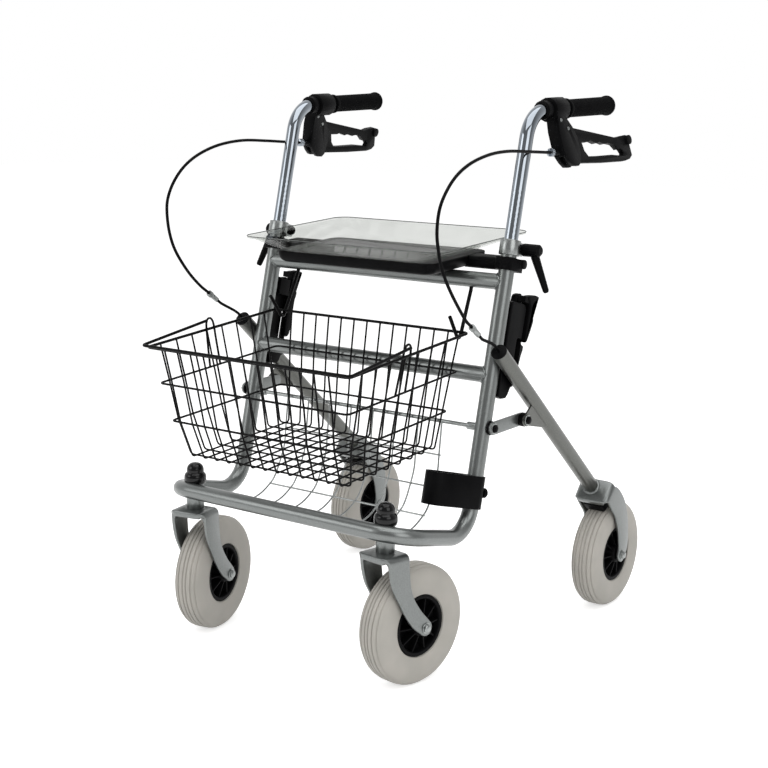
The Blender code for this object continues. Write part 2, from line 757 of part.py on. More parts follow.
def strips(count, width):
    """Stretches of 0 to 1 as (start, end, wire number): a wire at each end, and count of them between."""
    cells = [(0, width, 0)]
    for k in range(1, count + 1):
        middle = k / (count + 1)
        cells.append((cells[-1][1], middle - width / 2, None))
        cells.append((middle - width / 2, middle + width / 2, k))
    cells.append((cells[-1][1], 1 - width, None))
    cells.append((1 - width, 1, count + 1))
    return cells


def merged(cells, kept):
    """The same stretches with only some of the wires, and one stretch for each opening between them."""
    joined = []
    for start, end, wire in cells:
        if wire in kept:
            joined.append((start, end, wire))
        elif joined[-1][2] is None:
            joined[-1] = (joined[-1][0], end, None)
        else:
            joined.append((start, end, None))
    return joined


def wire_basket():
    """The wire basket as one sheet of strips, with a loop on each side that its handle turns on."""
    across = strips(BASKET_FRONT_WIRES, 0.0085)
    depth = strips(BASKET_SIDE_WIRES, 0.012)
    floor_depth = merged(depth, (0, *BASKET_FLOOR_RODS, BASKET_SIDE_WIRES + 1))
    half = 0.009
    levels = [(0, half, 0)]
    for k in (1, 2):
        mark = BASKET_LEVELS[k][0]
        levels.append((levels[-1][1], mark - half, None))
        levels.append((mark - half, mark + half, k))
    levels.append((levels[-1][1], 1 - 2.4 * half, None))
    levels.append((1 - 2.4 * half, 1, 3))
    faces = []

    def add(*corners):
        faces.append([basket_point(*corner) for corner in corners])

    for left, right, wire in across:
        for low, high, ring in levels:
            if wire is not None or ring is not None:
                for d in (0, 1):
                    add((left, d, low), (right, d, low), (right, d, high), (left, d, high))
        at_side = wire in (0, BASKET_FRONT_WIRES + 1)
        for front, rear, rod in depth if at_side else floor_depth:
            if wire is not None or rod is not None:
                add((left, front, 0), (right, front, 0), (right, rear, 0), (left, rear, 0))
    for front, rear, wire in depth:
        for low, high, ring in levels:
            if wire is not None or ring is not None:
                for side in (0, 1):
                    add((side, front, low), (side, rear, low), (side, rear, high), (side, front, high))
    basket = lattice(faces, BASKET_WIRE)
    for side in (1, -1):
        loop = [
            Vector((side * 0.1885, 0.026, 0.470)),
            Vector((side * 0.1955, 0.031, 0.520)),
            Vector((side * 0.1960, 0.0405, 0.528)),
            Vector((side * 0.1955, 0.050, 0.520)),
            Vector((side * 0.1885, 0.056, 0.470)),
        ]
        join(basket, sweep(loop, 0.0022, 6))
    node(basket, "wire_basket", black_coating, Vector((0, 0.0405, 0.522)))


def basket_handle():
    """The carrying handle, folded forward along the basket's front rim."""
    x = 0.2025
    corners = [
        Vector((x, 0.0405, 0.5240)),
        Vector((x, HANDLE_FRONT_Y, 0.5070)),
        Vector((-x, HANDLE_FRONT_Y, 0.5070)),
        Vector((-x, 0.0405, 0.5240)),
    ]
    handle = sweep(filleted(corners, 0.022, 4), HANDLE_WIRE_RADIUS, 8)
    node(handle, "basket_handle", black_coating, Vector((0, 0.0405, 0.5240)))


# Handles and brakes

def post_top():
    """The corner where the post's axis would meet the grip's axis."""
    along = (POST_TOP_Z - HEEL.z) / UP.z
    return on_upright(along)


GRIP_DIR = Vector((GRIP_TOE_OUT, 1, GRIP_RISE)).normalized()


def grip_point(y):
    """A point on the left grip's axis."""
    corner = post_top()
    return corner + GRIP_DIR * ((y - corner.y) / GRIP_DIR.y)


def post_path():
    """The left post's axis, from its foot inside the upright to its end inside the grip."""
    foot = on_upright(UPRIGHT_LENGTH - POST_BURIED)
    return filleted([foot, post_top(), grip_point(GRIP_END - 0.012)], POST_BEND_RADIUS, 6)


def handle_posts():
    """The chrome post that slides in each upright and bends back into the grip."""
    tube = sweep(post_path(), POST_RADIUS, 16, bore=POST_RADIUS - POST_WALL)
    on_both_sides(tube, "handle_post", chrome, post_top())


def grips():
    """The soft grip pushed over the end of each post."""
    start = grip_point(GRIP_START)
    length = (grip_point(GRIP_END) - start).length
    bore = POST_RADIUS + GAP
    floor = length - 0.010
    profile = [
        (0, bore), (0, 0.0165), (0.006, 0.0165), (0.010, GRIP_RADIUS), (length - 0.010, GRIP_RADIUS + 0.0003),
        (length - 0.003, GRIP_RADIUS - 0.002), (length, GRIP_RADIUS - 0.006), (length, 0), (floor, 0), (floor, bore),
    ]
    on_both_sides(revolve(profile, start, GRIP_DIR, 18), "grip", grip_rubber, start)


def lever_pivot():
    return Vector((BRAKE_X, LEVER_PIVOT_Y, LEVER_PIVOT_Z))


def brake_tilt():
    """Turns a brake piece from a plane along the frame to its own one, about the lever's pivot."""
    there = Matrix.Translation(lever_pivot())
    turn = Matrix.Rotation(-BRAKE_TOE_OUT, 4, "Z") @ Matrix.Rotation(-BRAKE_LEAN, 4, "Y")
    return there @ turn @ there.inverted()


def from_lever_pivot(points):
    """Points of (behind, above) the lever's pivot as (y, z)."""
    return [(LEVER_PIVOT_Y + behind, LEVER_PIVOT_Z + above) for behind, above in points]


def brake_housings():
    """The moulded brake body: two rings round the post and two cheeks that hold the lever."""
    outline = from_lever_pivot([
        (-0.0264, 0.0200), (-0.0273, -0.0028), (-0.0251, -0.0170), (-0.0228, -0.0304), (-0.0181, -0.0423),
        (-0.0091, -0.0520), (0.0019, -0.0596), (0.0173, -0.0600), (0.0246, -0.0540), (0.0273, -0.0360),
        (0.0237, -0.0140), (0.0128, 0.0026), (-0.0018, 0.0173), (-0.0055, 0.0254), (-0.0073, 0.0320), (-0.0246, 0.0300),
    ])
    housing = prism(outline, Y, Z, X, BRAKE_X - BRAKE_HALF_WIDTH, BRAKE_X + BRAKE_HALF_WIDTH)
    room = LEVER_THICKNESS / 2 + 0.0005
    slot = from_lever_pivot([(-0.0164, -0.0740), (-0.0164, 0.0125), (0.0600, 0.0125), (0.0600, -0.0740)])
    cut(housing, prism(slot, Y, Z, X, BRAKE_X - room, BRAKE_X + room))
    pivot = lever_pivot()
    cut(housing, cylinder(pivot - X * 0.02, pivot + X * 0.02, 0.003 + PIVOT_CLEARANCE, 10))
    housing.data.transform(brake_tilt())
    for start, end, radius in ((0.3420, 0.3560, 0.0152), (0.3600, 0.3990, 0.0195)):
        join(housing, cylinder(grip_point(start), grip_point(end), radius, 14))
    join(housing, cylinder(grip_point(0.3400), grip_point(0.3800), 0.0136, 12))
    cut(housing, sweep(post_path(), POST_RADIUS + GAP, 16))
    ferrule = Vector((HALF_FRAME_WIDTH + 0.0203, 0.3400, 0.8060))
    join(housing, cylinder(ferrule, ferrule + Y * 0.0285, 0.0048, 12))
    on_both_sides(housing, "brake_housing", black_plastic, pivot)


def brake_levers():
    """The loop lever: fingers pull its upper bar to brake, and its rounded end is the hand's stop."""
    outer = from_lever_pivot([
        (-0.0018, 0.0090), (0.0055, 0.0070), (0.0205, 0.0025), (0.0898, -0.0061), (0.1558, -0.0144),
        (0.1676, -0.0114), (0.1858, -0.0096), (0.1986, -0.0123), (0.2033, -0.0188), (0.1968, -0.0255),
        (0.1995, -0.0369), (0.2010, -0.0440), (0.1922, -0.0503), (0.1758, -0.0534), (0.1085, -0.0548),
        (0.0328, -0.0545), (0.0018, -0.0560), (-0.0082, -0.0460), (-0.0091, -0.0240), (-0.0091, 0.0030),
    ])
    window = from_lever_pivot([
        (0.0445, -0.0210), (0.0640, -0.0208), (0.0730, -0.0185), (0.0894, -0.0232), (0.1000, -0.0208), (0.1150, -0.0245),
        (0.1260, -0.0228), (0.1455, -0.0253), (0.1576, -0.0338), (0.1662, -0.0323), (0.1740, -0.0399),
        (0.1713, -0.0449), (0.1338, -0.0426), (0.0816, -0.0442), (0.0604, -0.0442), (0.0500, -0.0350),
    ])
    low = BRAKE_X - LEVER_THICKNESS / 2
    high = BRAKE_X + LEVER_THICKNESS / 2
    lever = prism(outer, Y, Z, X, low, high)
    cut(lever, prism(window, Y, Z, X, low - 0.01, high + 0.01))
    stop = Vector((BRAKE_X, LEVER_PIVOT_Y + 0.1931, LEVER_PIVOT_Z - 0.0180))
    join(lever, cylinder(stop - X * 0.0080, stop + X * 0.0080, 0.0080, 14))
    pivot = lever_pivot()
    pin = X * (BRAKE_HALF_WIDTH - 0.0005)
    join(lever, cylinder(pivot - pin, pivot + pin, 0.003, 10))
    lever.data.transform(brake_tilt())
    on_both_sides(lever, "brake_lever", black_plastic, pivot)


# Each cable's route from the brake housing to the adjuster and on to the leg's cap, chosen by hand
CABLE_ROUTES = {
    "left": [
        (0.2540, 0.3395, 0.8060), (0.2542, 0.3150, 0.8068), (0.2546, 0.2700, 0.8082), (0.2550, 0.2085, 0.8096),
        (0.2560, 0.1512, 0.8050), (0.2555, 0.0978, 0.7917), (0.2555, 0.0568, 0.7702), (0.2555, 0.0275, 0.7378),
        (0.2555, 0.0191, 0.7047), (0.2555, 0.0228, 0.6764), (0.2555, 0.0348, 0.6444), (0.2560, 0.0601, 0.6079),
        (0.2565, 0.0982, 0.5665), (0.2570, 0.1162, 0.5532),
    ],
    "right": [
        (0.2540, 0.3395, 0.8060), (0.2542, 0.3150, 0.8068), (0.2546, 0.2509, 0.8096), (0.2555, 0.1905, 0.8107),
        (0.2550, 0.1323, 0.8042), (0.2550, 0.0839, 0.7904), (0.2550, 0.0476, 0.7714), (0.2550, 0.0222, 0.7473),
        (0.2550, 0.0076, 0.7210), (0.2550, 0.0051, 0.6968), (0.2550, 0.0108, 0.6644), (0.2550, 0.0247, 0.6339),
        (0.2555, 0.0535, 0.5992), (0.2565, 0.0829, 0.5738), (0.2570, 0.1056, 0.5588),
    ],
}
CABLE_SPACING = 0.0145


def smooth_route(points, spacing):
    """Even steps along a smooth curve through the route's points."""
    ends = [points[0] * 2 - points[1]] + points + [points[-1] * 2 - points[-2]]
    fine = []
    for a, b, c, d in zip(ends, ends[1:], ends[2:], ends[3:]):
        for k in range(12):
            t = k / 12
            fine.append(0.5 * (b * 2 + (c - a) * t + (a * 2 - b * 5 + c * 4 - d) * t ** 2
                               + (b * 3 - a - c * 3 + d) * t ** 3))
    fine.append(points[-1])
    total = sum((b - a).length for a, b in zip(fine, fine[1:]))
    count = max(2, round(total / spacing))
    step = total / count
    path = [fine[0]]
    gone = 0.0
    for a, b in zip(fine, fine[1:]):
        length = (b - a).length
        while len(path) < count and gone + length >= step * len(path):
            path.append(a.lerp(b, (step * len(path) - gone) / length))
        gone += length
    path.append(fine[-1])
    return path


def leg_top(x):
    point = on_upright(SLIDER_HEIGHT, SLIDER_BEHIND) - LEG_DIR * LEG_ABOVE_SLIDER
    return Vector((x, point.y, point.z))


def fork_root(x):
    """The top of the rear fork: the leg reaches down until the rear wheel stands on the floor."""
    slider = on_upright(SLIDER_HEIGHT, SLIDER_BEHIND)
    drop = WHEEL_RADIUS + LEG_NORMAL.z * REAR_AXLE_BELOW - LEG_DIR.z * REAR_AXLE_ALONG - slider.z
    point = slider + LEG_DIR * (drop / LEG_DIR.z)
    return Vector((x, point.y, point.z))


def rear_hub(x):
    return fork_root(x) + LEG_DIR * REAR_AXLE_ALONG - LEG_NORMAL * REAR_AXLE_BELOW


def middle_of_box():
    """How far the middle of the object's length lies behind the caster axes."""
    front = HANDLE_FRONT_Y - HANDLE_WIRE_RADIUS
    rear = rear_hub(0).y + WHEEL_RADIUS
    return (front + rear) / 2


def brake_cables():
    """The cable from each brake to the adjuster, and the short stretch on into the leg's cap."""
    for side, sign in (("left", 1), ("right", -1)):
        route = [Vector((sign * x, y, z)) for x, y, z in CABLE_ROUTES[side]]
        curve = bpy.data.curves.new("cable", "CURVE")
        curve.dimensions = "3D"
        curve.bevel_depth = CABLE_RADIUS
        curve.bevel_resolution = 2
        curve.use_fill_caps = True
        spline = curve.splines.new("POLY")
        path = smooth_route(route, CABLE_SPACING)
        spline.points.add(len(path) - 1)
        for point, place in zip(spline.points, path):
            point.co = (*(place - route[0]), 1)
        upper = bpy.data.objects.new("cable", curve)
        bpy.context.scene.collection.objects.link(upper)
        node(upper, "brake_cable_" + side, black_plastic, route[0])
        end = leg_top(sign * LEG_X) - LEG_DIR * (0.0040 + 2 * GAP)
        start = route[-1]
        towards = (start - route[-2]).normalized()
        first = start + towards * GAP
        barrel = first + towards * 0.026
        bend = end - LEG_DIR * 0.018
        tail = smooth_route([barrel, barrel + towards * 0.012, bend, end], 0.012)
        lower = sweep([first, first + towards * 0.005, first + towards * 0.006, barrel, barrel + towards * 0.001] + tail[1:],
                      [0.0030, 0.0030, 0.0040, 0.0040, CABLE_RADIUS] + [CABLE_RADIUS] * (len(tail) - 1), 8)
        node(lower, "cable_adjuster_" + side, black_plastic, first)


# Clamps of the handle height

def clamp_collars():
    """The split collar at each upright's top that pinches it onto the post."""
    top = UPRIGHT_LENGTH
    low = on_upright(top - COLLAR_LENGTH)
    inner = FRAME_TUBE_RADIUS + GAP
    collar = cylinder(low, on_upright(top), inner + 0.0035, 20)
    foot = top - COLLAR_LENGTH + 0.0020
    crest = top - 0.0008
    root = inner - 0.0060
    ear = [(foot, root), (crest, root), (crest, 0.0300), (crest - 0.0035, 0.0325), (foot + 0.0045, 0.0325), (foot, 0.0290)]
    join(collar, prism(ear, UP, BACK, X, HALF_FRAME_WIDTH - 0.0075, HALF_FRAME_WIDTH + 0.0075, HEEL))
    cut(collar, cylinder(low - UP * 0.01, low + UP * (COLLAR_LENGTH + 0.01), seat_on_tube(20), 20))
    slit = [(top - COLLAR_LENGTH - 0.01, 0.0), (top + 0.01, 0.0), (top + 0.01, 0.05), (top - COLLAR_LENGTH - 0.01, 0.05)]
    cut(collar, prism(slit, UP, BACK, X, HALF_FRAME_WIDTH - 0.0018, HALF_FRAME_WIDTH + 0.0018, HEEL))
    bolt = on_upright(top - CLAMP_BOLT_BELOW_TOP, CLAMP_BOLT_BEHIND)
    cut(collar, cylinder(bolt - X * 0.03, bolt + X * 0.03, CLAMP_BOLT_RADIUS + PIVOT_CLEARANCE, 12))
    on_both_sides(collar, "clamp_collar", zinc, bolt)


def clamp_levers():
    """The ratchet lever and bolt that close each collar. Each was left at its own angle."""
    bolt = on_upright(UPRIGHT_LENGTH - CLAMP_BOLT_BELOW_TOP, CLAMP_BOLT_BEHIND, 0)
    ear = HALF_FRAME_WIDTH + 0.0075 + GAP
    dome = HALF_FRAME_WIDTH - 0.0075 - GAP
    hub = CLAMP_HUB_END_X
    for side, sign, tip in (("left", 1, (0.3022, 0.5890)), ("right", -1, (0.2610, 0.5915))):
        profile = [
            (dome - 0.0094, 0), (dome - 0.0088, 0.0035), (dome - 0.0064, 0.0065), (dome - 0.0025, 0.0078),
            (dome, 0.0078), (dome, CLAMP_BOLT_RADIUS), (ear, CLAMP_BOLT_RADIUS), (ear, 0.0080), (ear + 0.005, 0.0103),
            (hub - 0.0035, 0.0100), (hub, 0.0065), (hub, 0),
        ]
        lever = revolve([(sign * along, radius) for along, radius in profile], bolt, X, 14)
        start = Vector((sign * CLAMP_ARM_ROOT_X, bolt.y, bolt.z))
        end = Vector((sign * CLAMP_ARM_TIP_X, *tip))
        way = (end - start).normalized()
        arm = sweep([start + way * 0.002, start + way * 0.014, end - way * 0.003, end], [0.0066, 0.0068, 0.0050, 0.0036], 10)
        join(lever, arm)
        node(lever, "clamp_lever_" + side, black_plastic, Vector((sign * HALF_FRAME_WIDTH, bolt.y, bolt.z)))


# Fold linkage

def strut_pivot(x=0.0):
    return on_upright(STRUT_PIVOT_HEIGHT, x=x)


def strut_end(x=0.0):
    return Vector((x, STRUT_END_Y, STRUT_END_Z))


STRUT_X = HALF_FRAME_WIDTH + FRAME_TUBE_RADIUS + GAP + SPACER
EAR_X = STRUT_X + STRUT_THICKNESS + 0.0083
EAR_THICKNESS = 0.003


def fold_struts():
    """The link from each upright to its leg, with its spacers, pivot pins and nuts."""
    start = strut_pivot()
    end = strut_end()
    length = (end - start).length
    along = (end - start).normalized()
    upward = X.cross(along)
    outline = arc((0, 0), STRUT_HALF_WIDTH, 90, 270, 6) + arc((length, 0), STRUT_HALF_WIDTH, -90, 90, 6)
    high = STRUT_X + STRUT_THICKNESS
    bar = prism(outline, along, upward, X, STRUT_X, high, start)
    join(bar, cylinder(strut_pivot(STRUT_X - SPACER), strut_pivot(STRUT_X + 0.001), 0.0108, 12))
    join(bar, cylinder(strut_pivot(high - 0.001), strut_pivot(high + 0.0045), 0.0080, 10))
    join(bar, cylinder(strut_pivot(STRUT_X - SPACER - 0.0070), strut_pivot(STRUT_X), PIVOT_PIN_RADIUS, 10))
    join(bar, cylinder(strut_end(high - 0.001), strut_end(EAR_X - GAP), 0.0108, 12))
    nut = EAR_X + EAR_THICKNESS + GAP
    join(bar, cylinder(strut_end(EAR_X - 0.002), strut_end(nut + 0.001), PIVOT_PIN_RADIUS, 10))
    join(bar, cylinder(strut_end(nut), strut_end(nut + 0.0055), 0.0076, 10))
    on_both_sides(bar, "fold_strut", cast_metal, strut_pivot(STRUT_X))


def rear_legs():
    """The rear leg tube, with its slider pin and the welded ear that the strut's end turns in."""
    slider = on_upright(SLIDER_HEIGHT, SLIDER_BEHIND, LEG_X)
    top = leg_top(LEG_X)
    bottom = fork_root(LEG_X) - LEG_DIR * GAP
    leg = sweep([top, bottom], FRAME_TUBE_RADIUS, 16, bore=FRAME_TUBE_RADIUS - FRAME_WALL)
    inner_face = LEG_X - FRAME_TUBE_RADIUS + 0.0006
    pin_end = Vector((0.2385, slider.y, slider.z))
    join(leg, cylinder(pin_end, Vector((inner_face, slider.y, slider.z)), PIVOT_PIN_RADIUS, 12))
    along = (strut_end() - Vector((0, slider.y, slider.z))).dot(LEG_DIR)
    below = (strut_end() - Vector((0, slider.y, slider.z))).dot(LEG_NORMAL)
    surface = -math.sqrt(FRAME_TUBE_RADIUS ** 2 - (EAR_X - LEG_X) ** 2) + 0.0008
    ear = [(along - 0.004, surface)] + arc((along, below), 0.0105, 180, 330, 7) + [
        (along + 0.050, surface - 0.009), (along + 0.060, surface)]
    plate = prism(ear, LEG_DIR, LEG_NORMAL, X, EAR_X, EAR_X + EAR_THICKNESS, Vector((0, slider.y, slider.z)))
    join(leg, plate)
    cut(leg, cylinder(strut_end(EAR_X - 0.01), strut_end(EAR_X + 0.01), PIVOT_PIN_RADIUS + PIVOT_CLEARANCE, 12))
    on_both_sides(leg, "rear_leg", frame_paint, strut_end(LEG_X))
    plug = FRAME_TUBE_RADIUS - FRAME_WALL - GAP
    profile = [(0.010, 0.0), (0.010, plug), (-GAP, plug), (-GAP, FRAME_TUBE_RADIUS + 0.0003),
               (-0.0030, FRAME_TUBE_RADIUS + 0.0003), (-0.0040, FRAME_TUBE_RADIUS - 0.0015), (-0.0040, 0.0)]
    on_both_sides(revolve(profile, top, LEG_DIR, 16), "leg_cap", black_plastic, top)


def rear_forks():
    """The rear fork: a plug in the leg, a flat crown and two arms that curve down to the axle."""
    foot = fork_root(0)
    inner = FORK_INNER_HALF
    outer = inner + FORK_ARM
    axle = (REAR_AXLE_ALONG, -REAR_AXLE_BELOW)
    crown = rounded_rectangle(-outer, -0.0285, outer, 0.0160, 0.009, 2)
    middle = foot + X * REAR_WHEEL_X
    fork = prism(crown, X, LEG_NORMAL, LEG_DIR, 0, 0.0060, middle)
    arm = [(0.0010, -0.0200), (0.0010, 0.0070), (0.0120, 0.0150), (0.0300, 0.0164), (0.0600, 0.0117),
           (0.0930, -0.0060), (0.1170, -0.0280), (0.1290, -0.0450)]
    arm += arc(axle, 0.0130, 25, -155, 6) + [(0.1000, -0.0590), (0.0775, -0.0410), (0.0508, -0.0279), (0.0188, -0.0240)]
    for start, end in ((-outer, -inner), (inner, outer)):
        join(fork, prism(arm, LEG_DIR, LEG_NORMAL, X, REAR_WHEEL_X + start, REAR_WHEEL_X + end, foot))
    plug = FRAME_TUBE_RADIUS - FRAME_WALL - GAP
    root = foot + X * LEG_X
    join(fork, cylinder(root - LEG_DIR * 0.020, root + LEG_DIR * 0.003, plug, 16))
    hub = rear_hub(REAR_WHEEL_X)
    reach = X * 0.05
    cut(fork, cylinder(hub - reach, hub + reach, AXLE_RADIUS + GAP, 12))
    on_both_sides(fork, "rear_fork", cast_metal, hub)
    wheel("rear_wheel", hub, X, on_both_sides)
    brake_shoes(foot, axle)


def brake_shoes(foot, axle):
    """The brake block between each rear fork's crown and its tyre."""
    face = WHEEL_RADIUS / math.cos(math.pi / WHEEL_FACETS) + SHOE_CLEARANCE
    outline = arc(axle, face, SHOE_ANGLE + 9, SHOE_ANGLE - 9, 5)
    outline += [(0.0095, outline[-1][1]), (0.0095, outline[0][1])]
    block = prism(outline, LEG_DIR, LEG_NORMAL, X, REAR_WHEEL_X - 0.017, REAR_WHEEL_X + 0.017, foot)
    middle = foot + LEG_DIR * 0.025 + LEG_NORMAL * -0.015 + X * REAR_WHEEL_X
    on_both_sides(block, "brake_shoe", black_plastic, middle)


# Wheels and casters

def wheel(name, hub_centre, axis, keep):
    """A tyre, its hub and its axle. One flat of the tread faces straight down."""
    tread = WHEEL_RADIUS / math.cos(math.pi / WHEEL_FACETS)
    half = TYRE_HALF_WIDTH
    side = [
        (half - 0.0045, HUB_RADIUS), (half, HUB_RADIUS + 0.018), (half - 0.0045, tread - 0.0072), (0.0120, tread),
    ]
    hollow = [(half - TYRE_WALL, HUB_RADIUS), (half - TYRE_WALL, tread - 0.0170), (0.0100, tread - TYRE_WALL)]
    hollow = [(-along, radius) for along, radius in hollow] + list(reversed(hollow))
    profile = side + [(-along, radius) for along, radius in reversed(side)] + hollow
    first, second = square_to(axis.normalized())
    down = math.atan2(-second.z, -first.z)
    turn = down + math.pi / WHEEL_FACETS
    keep(revolve(profile, hub_centre, axis, WHEEL_FACETS, turn), name + "_tyre", tyre_grey, hub_centre)
    rim = (HUB_RADIUS - 0.0005) * math.cos(math.pi / WHEEL_FACETS)
    boss = FORK_INNER_HALF - 0.0020
    face = [
        (boss, AXLE_RADIUS + PIVOT_CLEARANCE), (boss, 0.0150), (0.0070, 0.0170), (0.0070, rim - 0.0065), (0.0185, rim - 0.0050),
        (0.0185, rim),
    ]
    profile = [(along, radius) for along, radius in face] + [(-along, radius) for along, radius in reversed(face)]
    keep(revolve(profile, hub_centre, axis, HUB_FACETS, turn), name + "_hub", black_plastic, hub_centre)
    outer = FORK_INNER_HALF + FORK_ARM + GAP
    end = [(outer, AXLE_RADIUS), (outer, 0.0105), (outer + 0.0040, 0.0100), (outer + 0.0058, 0.0060), (outer + 0.0058, 0)]
    profile = [(-along, radius) for along, radius in reversed(end)] + end
    keep(revolve(profile, hub_centre, axis, 10), name + "_axle", zinc, hub_centre)


def casters():
    """The swivelling front forks and their wheels, trailing a little outward as the photograph shows."""
    swivel = Vector((CASTER_X, 0, 0))
    turn = Matrix.Rotation(-CASTER_TOE_OUT, 4, "Z")
    heading = turn @ Y
    across = turn @ X
    outer = FORK_INNER_HALF + FORK_ARM
    crown_top = SLEEVE_BOTTOM - 0.0006
    crown = rounded_rectangle(-outer, -0.0330, outer, 0.0205, 0.010, 2)
    fork = prism(crown, across, heading, Z, crown_top - 0.0060, crown_top, swivel)
    axle = (CASTER_TRAIL, WHEEL_RADIUS)
    top = crown_top - 0.0010
    arm = [(0.0090, top), (-0.0100, top), (-0.0200, 0.2110), (-0.0195, 0.1990), (-0.0150, 0.1830), (-0.0080, 0.1640),
           (0.0021, 0.1425), (0.0168, 0.1182), (0.0330, 0.0985)]
    arm += arc(axle, 0.0130, 215, 395, 6) + [(0.0480, 0.1243), (0.0325, 0.1461), (0.0235, 0.1680), (0.0205, 0.1900), (0.0200, 0.2100)]
    for start, end in ((-outer, -FORK_INNER_HALF), (FORK_INNER_HALF, outer)):
        join(fork, prism(arm, heading, Z, across, start, end, swivel))
    stem = Vector((CASTER_X, 0, crown_top - 0.003))
    join(fork, cylinder(stem, Vector((CASTER_X, 0, SLEEVE_TOP + 0.0070)), STEM_RADIUS, 12))
    hub = swivel + heading * CASTER_TRAIL + Z * WHEEL_RADIUS
    cut(fork, cylinder(hub - across * 0.05, hub + across * 0.05, AXLE_RADIUS + GAP, 12))
    on_both_sides(fork, "caster_fork", cast_metal, Vector((CASTER_X, 0, crown_top)))
    wheel("caster_wheel", hub, across, on_both_sides)


def main():
    for obj in list(bpy.data.objects):
        bpy.data.objects.remove(obj, do_unlink=True)
    empty = bpy.data.objects.new("rollator_origin", None)
    bpy.context.scene.collection.objects.link(empty)
    empty.location = (0, -middle_of_box(), 0)
    ROOT["empty"] = empty
    bent_frame()
    tube_between_uprights(SEAT_TUBE_HEIGHT, "seat_cross_tube")
    tube_between_uprights(MID_TUBE_HEIGHT, "mid_cross_tube")
    wire_guard()
    caster_caps()
    basket_hooks()
    fold_rails()
    latch_levers()
    cane_holder()
    seat_board()
    seat_brackets()
    tray()
    wire_basket()
    basket_handle()
    handle_posts()
    grips()
    brake_housings()
    brake_levers()
    brake_cables()
    clamp_collars()
    clamp_levers()
    fold_struts()
    rear_legs()
    rear_forks()
    casters()


main()
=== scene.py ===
# %% [markdown]
# # A folding rollator
# A rollator is a walking frame on four wheels. Its solids come from a CAD model, and this script gives
# each of them its finish: smooth bent tubes, round wires, moulded plastic, cast forks, ribbed grips and
# a clear tray. Each piece but the brake cables rides on a CAD body, so it follows when the frame folds
# or a wheel turns.

# %% Load the frame
import json
import math

import bmesh
import bpy
from mathutils import Matrix, Vector

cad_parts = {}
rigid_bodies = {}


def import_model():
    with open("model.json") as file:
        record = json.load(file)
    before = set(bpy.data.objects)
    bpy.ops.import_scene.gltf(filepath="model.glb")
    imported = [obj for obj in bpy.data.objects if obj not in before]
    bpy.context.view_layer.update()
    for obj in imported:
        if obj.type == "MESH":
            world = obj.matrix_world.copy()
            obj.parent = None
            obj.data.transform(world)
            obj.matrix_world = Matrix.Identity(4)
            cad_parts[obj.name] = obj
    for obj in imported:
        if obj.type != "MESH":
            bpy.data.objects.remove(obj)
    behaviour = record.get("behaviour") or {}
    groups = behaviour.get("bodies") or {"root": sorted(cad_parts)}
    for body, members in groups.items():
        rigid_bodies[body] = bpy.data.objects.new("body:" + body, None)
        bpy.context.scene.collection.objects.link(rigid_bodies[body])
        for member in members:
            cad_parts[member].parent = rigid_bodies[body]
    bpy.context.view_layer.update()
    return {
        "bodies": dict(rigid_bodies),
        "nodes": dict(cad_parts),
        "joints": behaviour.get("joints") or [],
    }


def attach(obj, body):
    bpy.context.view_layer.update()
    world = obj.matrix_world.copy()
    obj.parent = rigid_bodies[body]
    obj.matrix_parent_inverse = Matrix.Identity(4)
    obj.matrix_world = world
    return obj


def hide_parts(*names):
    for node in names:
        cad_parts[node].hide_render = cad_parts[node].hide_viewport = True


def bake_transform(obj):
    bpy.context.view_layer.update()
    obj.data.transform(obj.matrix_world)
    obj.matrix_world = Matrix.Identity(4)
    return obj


for startup_object in list(bpy.data.objects):
    bpy.data.objects.remove(startup_object, do_unlink=True)

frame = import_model()

# %% [markdown]
# Places come from the frame's joints: a hinge says where a pin is and which way it points. Everything
# else is measured along the leaning uprights, or from the caster axes at the front.

# %% Places and directions
X = Vector((1, 0, 0))
Y = Vector((0, 1, 0))
Z = Vector((0, 0, 1))
JOINTS = {joint["name"]: joint for joint in frame["joints"]}


def pivot(joint):
    return Vector(JOINTS[joint]["pos_m"])


def mirrored(point):
    return Vector((-point.x, point.y, point.z))


def there_and_back(left):
    """A path along these points on the left, and back along their mirror images on the right."""
    return left + [mirrored(point) for point in reversed(left)]


def at(x, y, z):
    """A point written from the mid point between the casters, on the floor."""
    return Vector((x, y + pivot("caster_swivel_left").y, z))


UP = Vector(JOINTS["handle_slide_left"]["axis"]).normalized()
BACK = X.cross(UP) * -1
HALF_WIDTH = pivot("clamp_turn_left").x
STRUT_PIVOT_HEIGHT = 0.1753
HEEL = Vector((0, pivot("fold_left").y, pivot("fold_left").z)) - UP * STRUT_PIVOT_HEIGHT


def on_upright(height, behind=0.0, x=HALF_WIDTH):
    """A point at this height along the left upright and this far behind its axis."""
    return X * x + HEEL + UP * height + BACK * behind


print("The uprights lean back by", round(math.degrees(math.atan2(UP.y, UP.z)), 2), "degrees")

# %% [markdown]
# Three builders make nearly every piece: a tube that follows a path, a turned form that goes round an
# axis, and a moulding that draws a flat outline out and rounds its rim. Each of them places rings of
# points and skins them with faces. Blender's curves with a bevel would also make a tube, but here every
# point of the section is under control, and all pieces come out as plain meshes.

# %% Rings and their skin
def skin(bm, rings, closed=False):
    """Joins each ring of points to the next one with faces."""
    pairs = list(zip(rings, rings[1:]))
    if closed:
        pairs.append((rings[-1], rings[0]))
    for lower, upper in pairs:
        if len(lower) == 1 and len(upper) == 1:
            continue
        count = max(len(lower), len(upper))
        for k in range(count):
            after = (k + 1) % count
            if len(lower) == 1:
                bm.faces.new((lower[0], upper[after], upper[k]))
            elif len(upper) == 1:
                bm.faces.new((lower[k], lower[after], upper[0]))
            else:
                bm.faces.new((lower[k], lower[after], upper[after], upper[k]))


